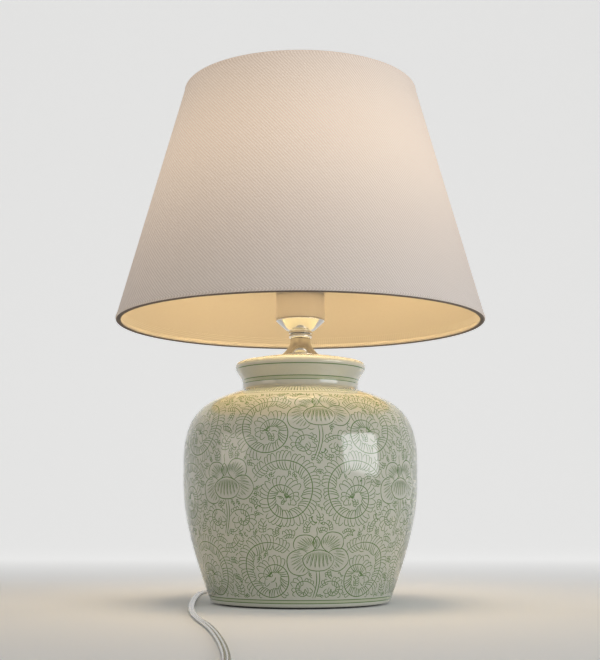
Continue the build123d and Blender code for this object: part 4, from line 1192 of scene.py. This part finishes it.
def makeCloth(name, look):
    mat, tree = newMaterial(name)
    twill = addNode(tree, "ShaderNodeGroup", {"Yarns": 100 / look["weave"], "Angle": look["angle"]},
                    node_tree=twillGroup).outputs
    # painted shade in the weave: its valleys take a darker colour than its ridges; the slub noise is the
    # yarn's own unevenness
    raised = mathNode(tree, "MULTIPLY", twill["Height"], 0.9)
    pale = mathNode(tree, "MULTIPLY_ADD", twill["Slub"], 0.15, raised)
    setShader(mat, {"Base Color": mixNode(tree, pale, look["valleyShade"], look["base"]), "Roughness": 0.85,
                    "Sheen Weight": 0.25, "Normal": bumpNode(tree, twill["Height"], look["bump"])})
    return addPaintedGlow(mat, look)


# the outer cloth's warm emission is painted bulb light shining through it
clothOut = makeCloth("shadeClothOut", {
    "weave": 2.9, "angle": 0.8, "base": (0.78, 0.74, 0.71), "valleyShade": (0.53, 0.495, 0.465), "bump": 0.00025,
    "spread": 3.0, "bulbHeight": 0.385, "warm": (1.0, 0.66, 0.38), "deep": (1.0, 0.55, 0.28), "glow": 0.30})
# the same cloth where it faces the bulb, kept as a darker, warmer copy: painted shade and painted warm bulb
# light
clothIn = makeCloth("shadeClothIn", {
    "weave": 2.9, "angle": 0.8, "base": (0.49, 0.44, 0.35), "valleyShade": (0.42, 0.37, 0.29), "bump": 0.00012,
    "spread": 1.2, "bulbHeight": 0.367, "warm": (1.0, 0.78, 0.5), "deep": (1.0, 0.72, 0.44), "glow": 0.05})
# painted shadow: the low roll's underside is coloured dark as the shadow it lies in
hemPaintedShadow = grainMaterial("shadeHemPaintedShadow", {
    "base": (0.13, 0.105, 0.09), "tint": (0.20, 0.165, 0.14), "rough": 0.9, "scale": 700.0,
    "cloudScale": 40.0, "amount": 0.6, "bump": 0.00005})
# the lining's emission is painted bulb light falling on it
liningLook = {
    "base": (0.48, 0.43, 0.345), "tint": (0.43, 0.38, 0.30), "rough": 0.56, "roughSpan": 0.12, "scale": 420.0,
    "cloudScale": 10.0, "amount": 0.5, "spread": 1.3, "bulbHeight": 0.367, "warm": (1.0, 0.70, 0.38),
    "deep": (1.0, 0.62, 0.31), "glow": 0.05}


def clothSide(face, look):
    # which material of the cloth a face wears: 0 outer, 1 inner, 2 the underside of the low roll, painted
    # dark as its shadow
    x, y, z = face.center / mm
    r = math.hypot(x, y)
    (lowR, lowZ), (highR, highZ) = ringPlace(-1), ringPlace(1)
    if z < lowZ and face.normal.z < -0.6 and r > lowR - look["roll"] - 0.2:
        return 2
    inward = face.normal.x * x + face.normal.y * y < 0
    return int(inward or z < lowZ and r < lowR + 0.2 or z > highZ and r < highR + 0.2)


def makeShade(look):
    outer = clothLine(look)
    skin = look["skin"]
    inner = [(r - outR * skin, z - outZ * skin) for _, r, z, outR, outZ in outlineTable(outer)]
    cloth = spinOutline("shadeCloth", outer + inner[::-1], look["steps"], closed=True)
    coneUv(cloth)
    for mat in (clothOut, clothIn, hemPaintedShadow):
        cloth.data.materials.append(mat)
    for face in cloth.data.polygons:
        face.material_index = clothSide(face, look)
    smoothBy(cloth, 40)
    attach(cloth, "shade")
    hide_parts("shade_cloth", "shade_top_hem", "shade_bottom_hem")
    # the flat cut is part of a ring, between two slants from the cone's tip
    area = sum(math.pi * (a[0] + b[0]) * math.dist(a, b) for a, b in zip(outer, outer[1:])) * mm * mm

    inset, thick = look["skin"] / math.cos(shadeLean), look["backing"] / math.cos(shadeLean)
    low, high = look["bottom"][1] + 2 * look["roll"] - 0.6, look["top"][1] - 2 * look["roll"] + 0.6
    heights = [low + (high - low) * i / 24 for i in range(25)]
    film = [(shadeRadius(z) - inset, z) for z in heights]
    film += [(shadeRadius(z) - inset - thick, z) for z in reversed(heights)]
    lining = addPaintedGlow(grainMaterial("shadeLiningFilm", liningLook), liningLook)
    makeTurned("shadeLining", film, lining, "shade", "shade_lining", look["steps"], 40)


makeShade(shade)
say("shade")

# finishes of the pieces kept from the frame, with the nodes that wear them
metal = {"metal": 1.0, "scale": 900.0, "cloudScale": 90.0, "amount": 0.5}
finishes = {
    "felt": {"on": ["felt_pad"], "base": (0.07, 0.075, 0.07), "tint": (0.12, 0.125, 0.115), "rough": 0.95,
             "scale": 1400.0, "cloudScale": 80.0, "amount": 0.8, "bump": 0.0002},
    "clearRubber": {"on": ["jar_strain_relief", "plug_relief", "inner_lead"], "base": (0.72, 0.71, 0.66),
                    "tint": (0.62, 0.61, 0.55), "rough": 0.3, "scale": 400.0, "cloudScale": 60.0,
                    "amount": 0.35, "bump": 0.00001},
    "zincSteel": {**metal, "on": ["threaded_rod", "floor_washer", "floor_nut", "holder_nut", "switch_screws"],
                  "base": (0.62, 0.61, 0.56), "tint": (0.46, 0.45, 0.40), "rough": 0.34, "amount": 0.6,
                  "bump": 0.000008},
    "brass": {**metal, "on": ["terminal_screws", "screw_shell", "centre_spring", "bulb_contact",
                              "lead_cores"], "base": (0.78, 0.58, 0.28), "tint": (0.58, 0.40, 0.17),
              "rough": 0.3, "bump": 0.000006},
    "ceramicCore": {"on": ["holder_insert"], "base": (0.78, 0.76, 0.70), "tint": (0.66, 0.63, 0.56),
                    "rough": 0.45, "scale": 800.0, "cloudScale": 70.0, "amount": 0.5, "bump": 0.00002},
    "capAluminium": {**metal, "on": ["bulb_cap"], "base": (0.72, 0.72, 0.72), "tint": (0.55, 0.55, 0.56),
                     "rough": 0.3, "bump": 0.00001},
    "blackGlass": {"on": ["bulb_insulator"], "base": (0.02, 0.02, 0.022), "tint": (0.05, 0.05, 0.055),
                   "rough": 0.15, "scale": 600.0, "cloudScale": 90.0, "amount": 0.5, "bump": 0.000004},
    "nickel": {**metal, "on": ["plug_pins"], "base": (0.70, 0.68, 0.63), "tint": (0.54, 0.52, 0.47),
               "rough": 0.22, "bump": 0.000004},
    "whiteWire": {"on": ["shade_top_ring", "shade_bottom_ring", "shade_spokes", "fitter_ring",
                         "shade_ring_nut"], "base": (0.80, 0.79, 0.75), "tint": (0.70, 0.68, 0.62),
                  "rough": 0.35, "scale": 600.0, "cloudScale": 40.0, "amount": 0.45, "bump": 0.00001},
    "clearPlastic": {"on": ["switch_base", "switch_cover", "switch_rocker", "plug_body"],
                     "base": (0.66, 0.66, 0.63), "tint": (0.56, 0.56, 0.53), "rough": 0.16, "roughSpan": 0.08,
                     "scale": 500.0, "cloudScale": 50.0, "amount": 0.4, "bump": 0.000006, "coat": 0.5},
    "opalGlass": {"on": ["bulb_globe"], "base": (0.9, 0.86, 0.78), "tint": (0.86, 0.80, 0.70), "rough": 0.35,
                  "roughSpan": 0.0, "scale": 200.0, "cloudScale": 30.0, "amount": 0.5,
                  "light": (1.0, 0.72, 0.42), "strength": 8.5},
}


def wear(node, mat):
    for place in cadNodes[node].material_slots:
        place.material = mat


for name, look in finishes.items():
    finish = grainMaterial(name, look)
    if "light" in look:
        setShader(finish, {"Emission Color": look["light"], "Emission Strength": look["strength"]})
    for node in look["on"]:
        wear(node, finish)
wear("bulb_housing", whitePlasticShaded)
say("finishes of the frame's own pieces")

# the stage, in m: pale paper, flat under the lamp and curving up far behind it
stageLook = {
    "half": 5.0,
    "front": -2.4,
    "bend": 1.9,
    "radius": 1.6,
    "wall": 4.2,
    "tone": (0.80, 0.80, 0.792),
    "lift": 0.48,  # what camera, glass and polished metal see on top of the lit paper
    "glowFrom": (-0.1, 1.1),  # where the lift starts and is full, going back
    "air": (0.93, 0.93, 0.92),
    "airLight": 0.34,
    "airSeen": 0.4,
}


def seenNode(tree):
    # 1 for what the camera, glass and polished metal look at, 0 for what lights the lamp
    rays = addNode(tree, "ShaderNodeLightPath").outputs
    seen = mathNode(tree, "MAXIMUM", rays["Is Camera Ray"], rays["Is Glossy Ray"])
    return mathNode(tree, "MAXIMUM", seen, rays["Is Transmission Ray"])


def makeStage(look):
    bend, radius, half = look["bend"], look["radius"], look["half"]
    side = [(look["front"], 0.0), *arcRun((bend, radius), radius, -90, 0, 24), (bend + radius, look["wall"])]
    verts = [(x, y, z) for y, z in side for x in (-half, half)]
    faces = [(2 * i, 2 * i + 1, 2 * i + 3, 2 * i + 2) for i in range(len(side) - 1)]
    floor = meshPiece("stageFloor", verts, faces)
    mat, tree = newMaterial("stagePaper")
    depth = rangeNode(tree, splitNode(tree, placeNode(tree, "Object"))["Y"], look["glowFrom"])
    glow = mathNode(tree, "MULTIPLY", mathNode(tree, "MULTIPLY", seenNode(tree), depth), look["lift"])
    setShader(mat, {"Base Color": look["tone"], "Roughness": 0.9, "Emission Color": (1, 1, 1),
                    "Emission Strength": glow})
    smoothBy(floor, 60)
    dress(floor, mat)


def makeWorld(look):
    world = bpy.data.worlds.new("world")
    bpy.context.scene.world = world
    world.use_nodes = True
    tree = world.node_tree
    strength = mathNode(tree, "MULTIPLY_ADD", seenNode(tree), look["airSeen"], look["airLight"])
    feed(tree, tree.nodes["Background"], {"Color": look["air"], "Strength": strength})


makeStage(stageLook)
makeWorld(stageLook)

# area lamps, in m and W; the last one is the part of the bulb's light that falls out of the shade
lamps = [
    {"name": "softLeft", "place": (-1.35, -0.62, 0.42), "aim": (0, 0, 0.2), "size": (0.8, 0.5), "power": 1.6,
     "color": (1.0, 0.88, 0.76)},
    {"name": "softRight", "place": (1.3, -0.8, 0.42), "aim": (0, 0, 0.2), "size": (1.0, 0.58), "power": 7.4,
     "color": (0.94, 0.97, 1.0)},
    {"name": "softTop", "place": (0.1, -0.7, 1.9), "aim": (0, 0, 0.25), "size": (1.6, 1.6), "power": 6.0,
     "color": (1.0, 1.0, 1.0)},
    {"name": "bulbSpill", "place": (0, 0, 0.345), "aim": (0, 0, 0), "size": (0.17, 0.17), "power": 0.9,
     "color": (1.0, 0.75, 0.43), "hidden": True},
]


def makeLamp(look):
    data = bpy.data.lights.new(look["name"], "AREA")
    data.shape = "RECTANGLE"
    data.size, data.size_y = look["size"]
    data.energy = look["power"]
    data.color = look["color"]
    ob = bpy.data.objects.new(look["name"], data)
    bpy.context.collection.objects.link(ob)
    ob.location = look["place"]
    ob.rotation_euler = (Vector(look["aim"]) - ob.location).to_track_quat("-Z", "Y").to_euler()
    if look.get("hidden"):
        ob.visible_camera = ob.visible_glossy = False


for look in lamps:
    makeLamp(look)
bpy.context.scene.view_settings.view_transform = "Standard"
say("stage and lights")
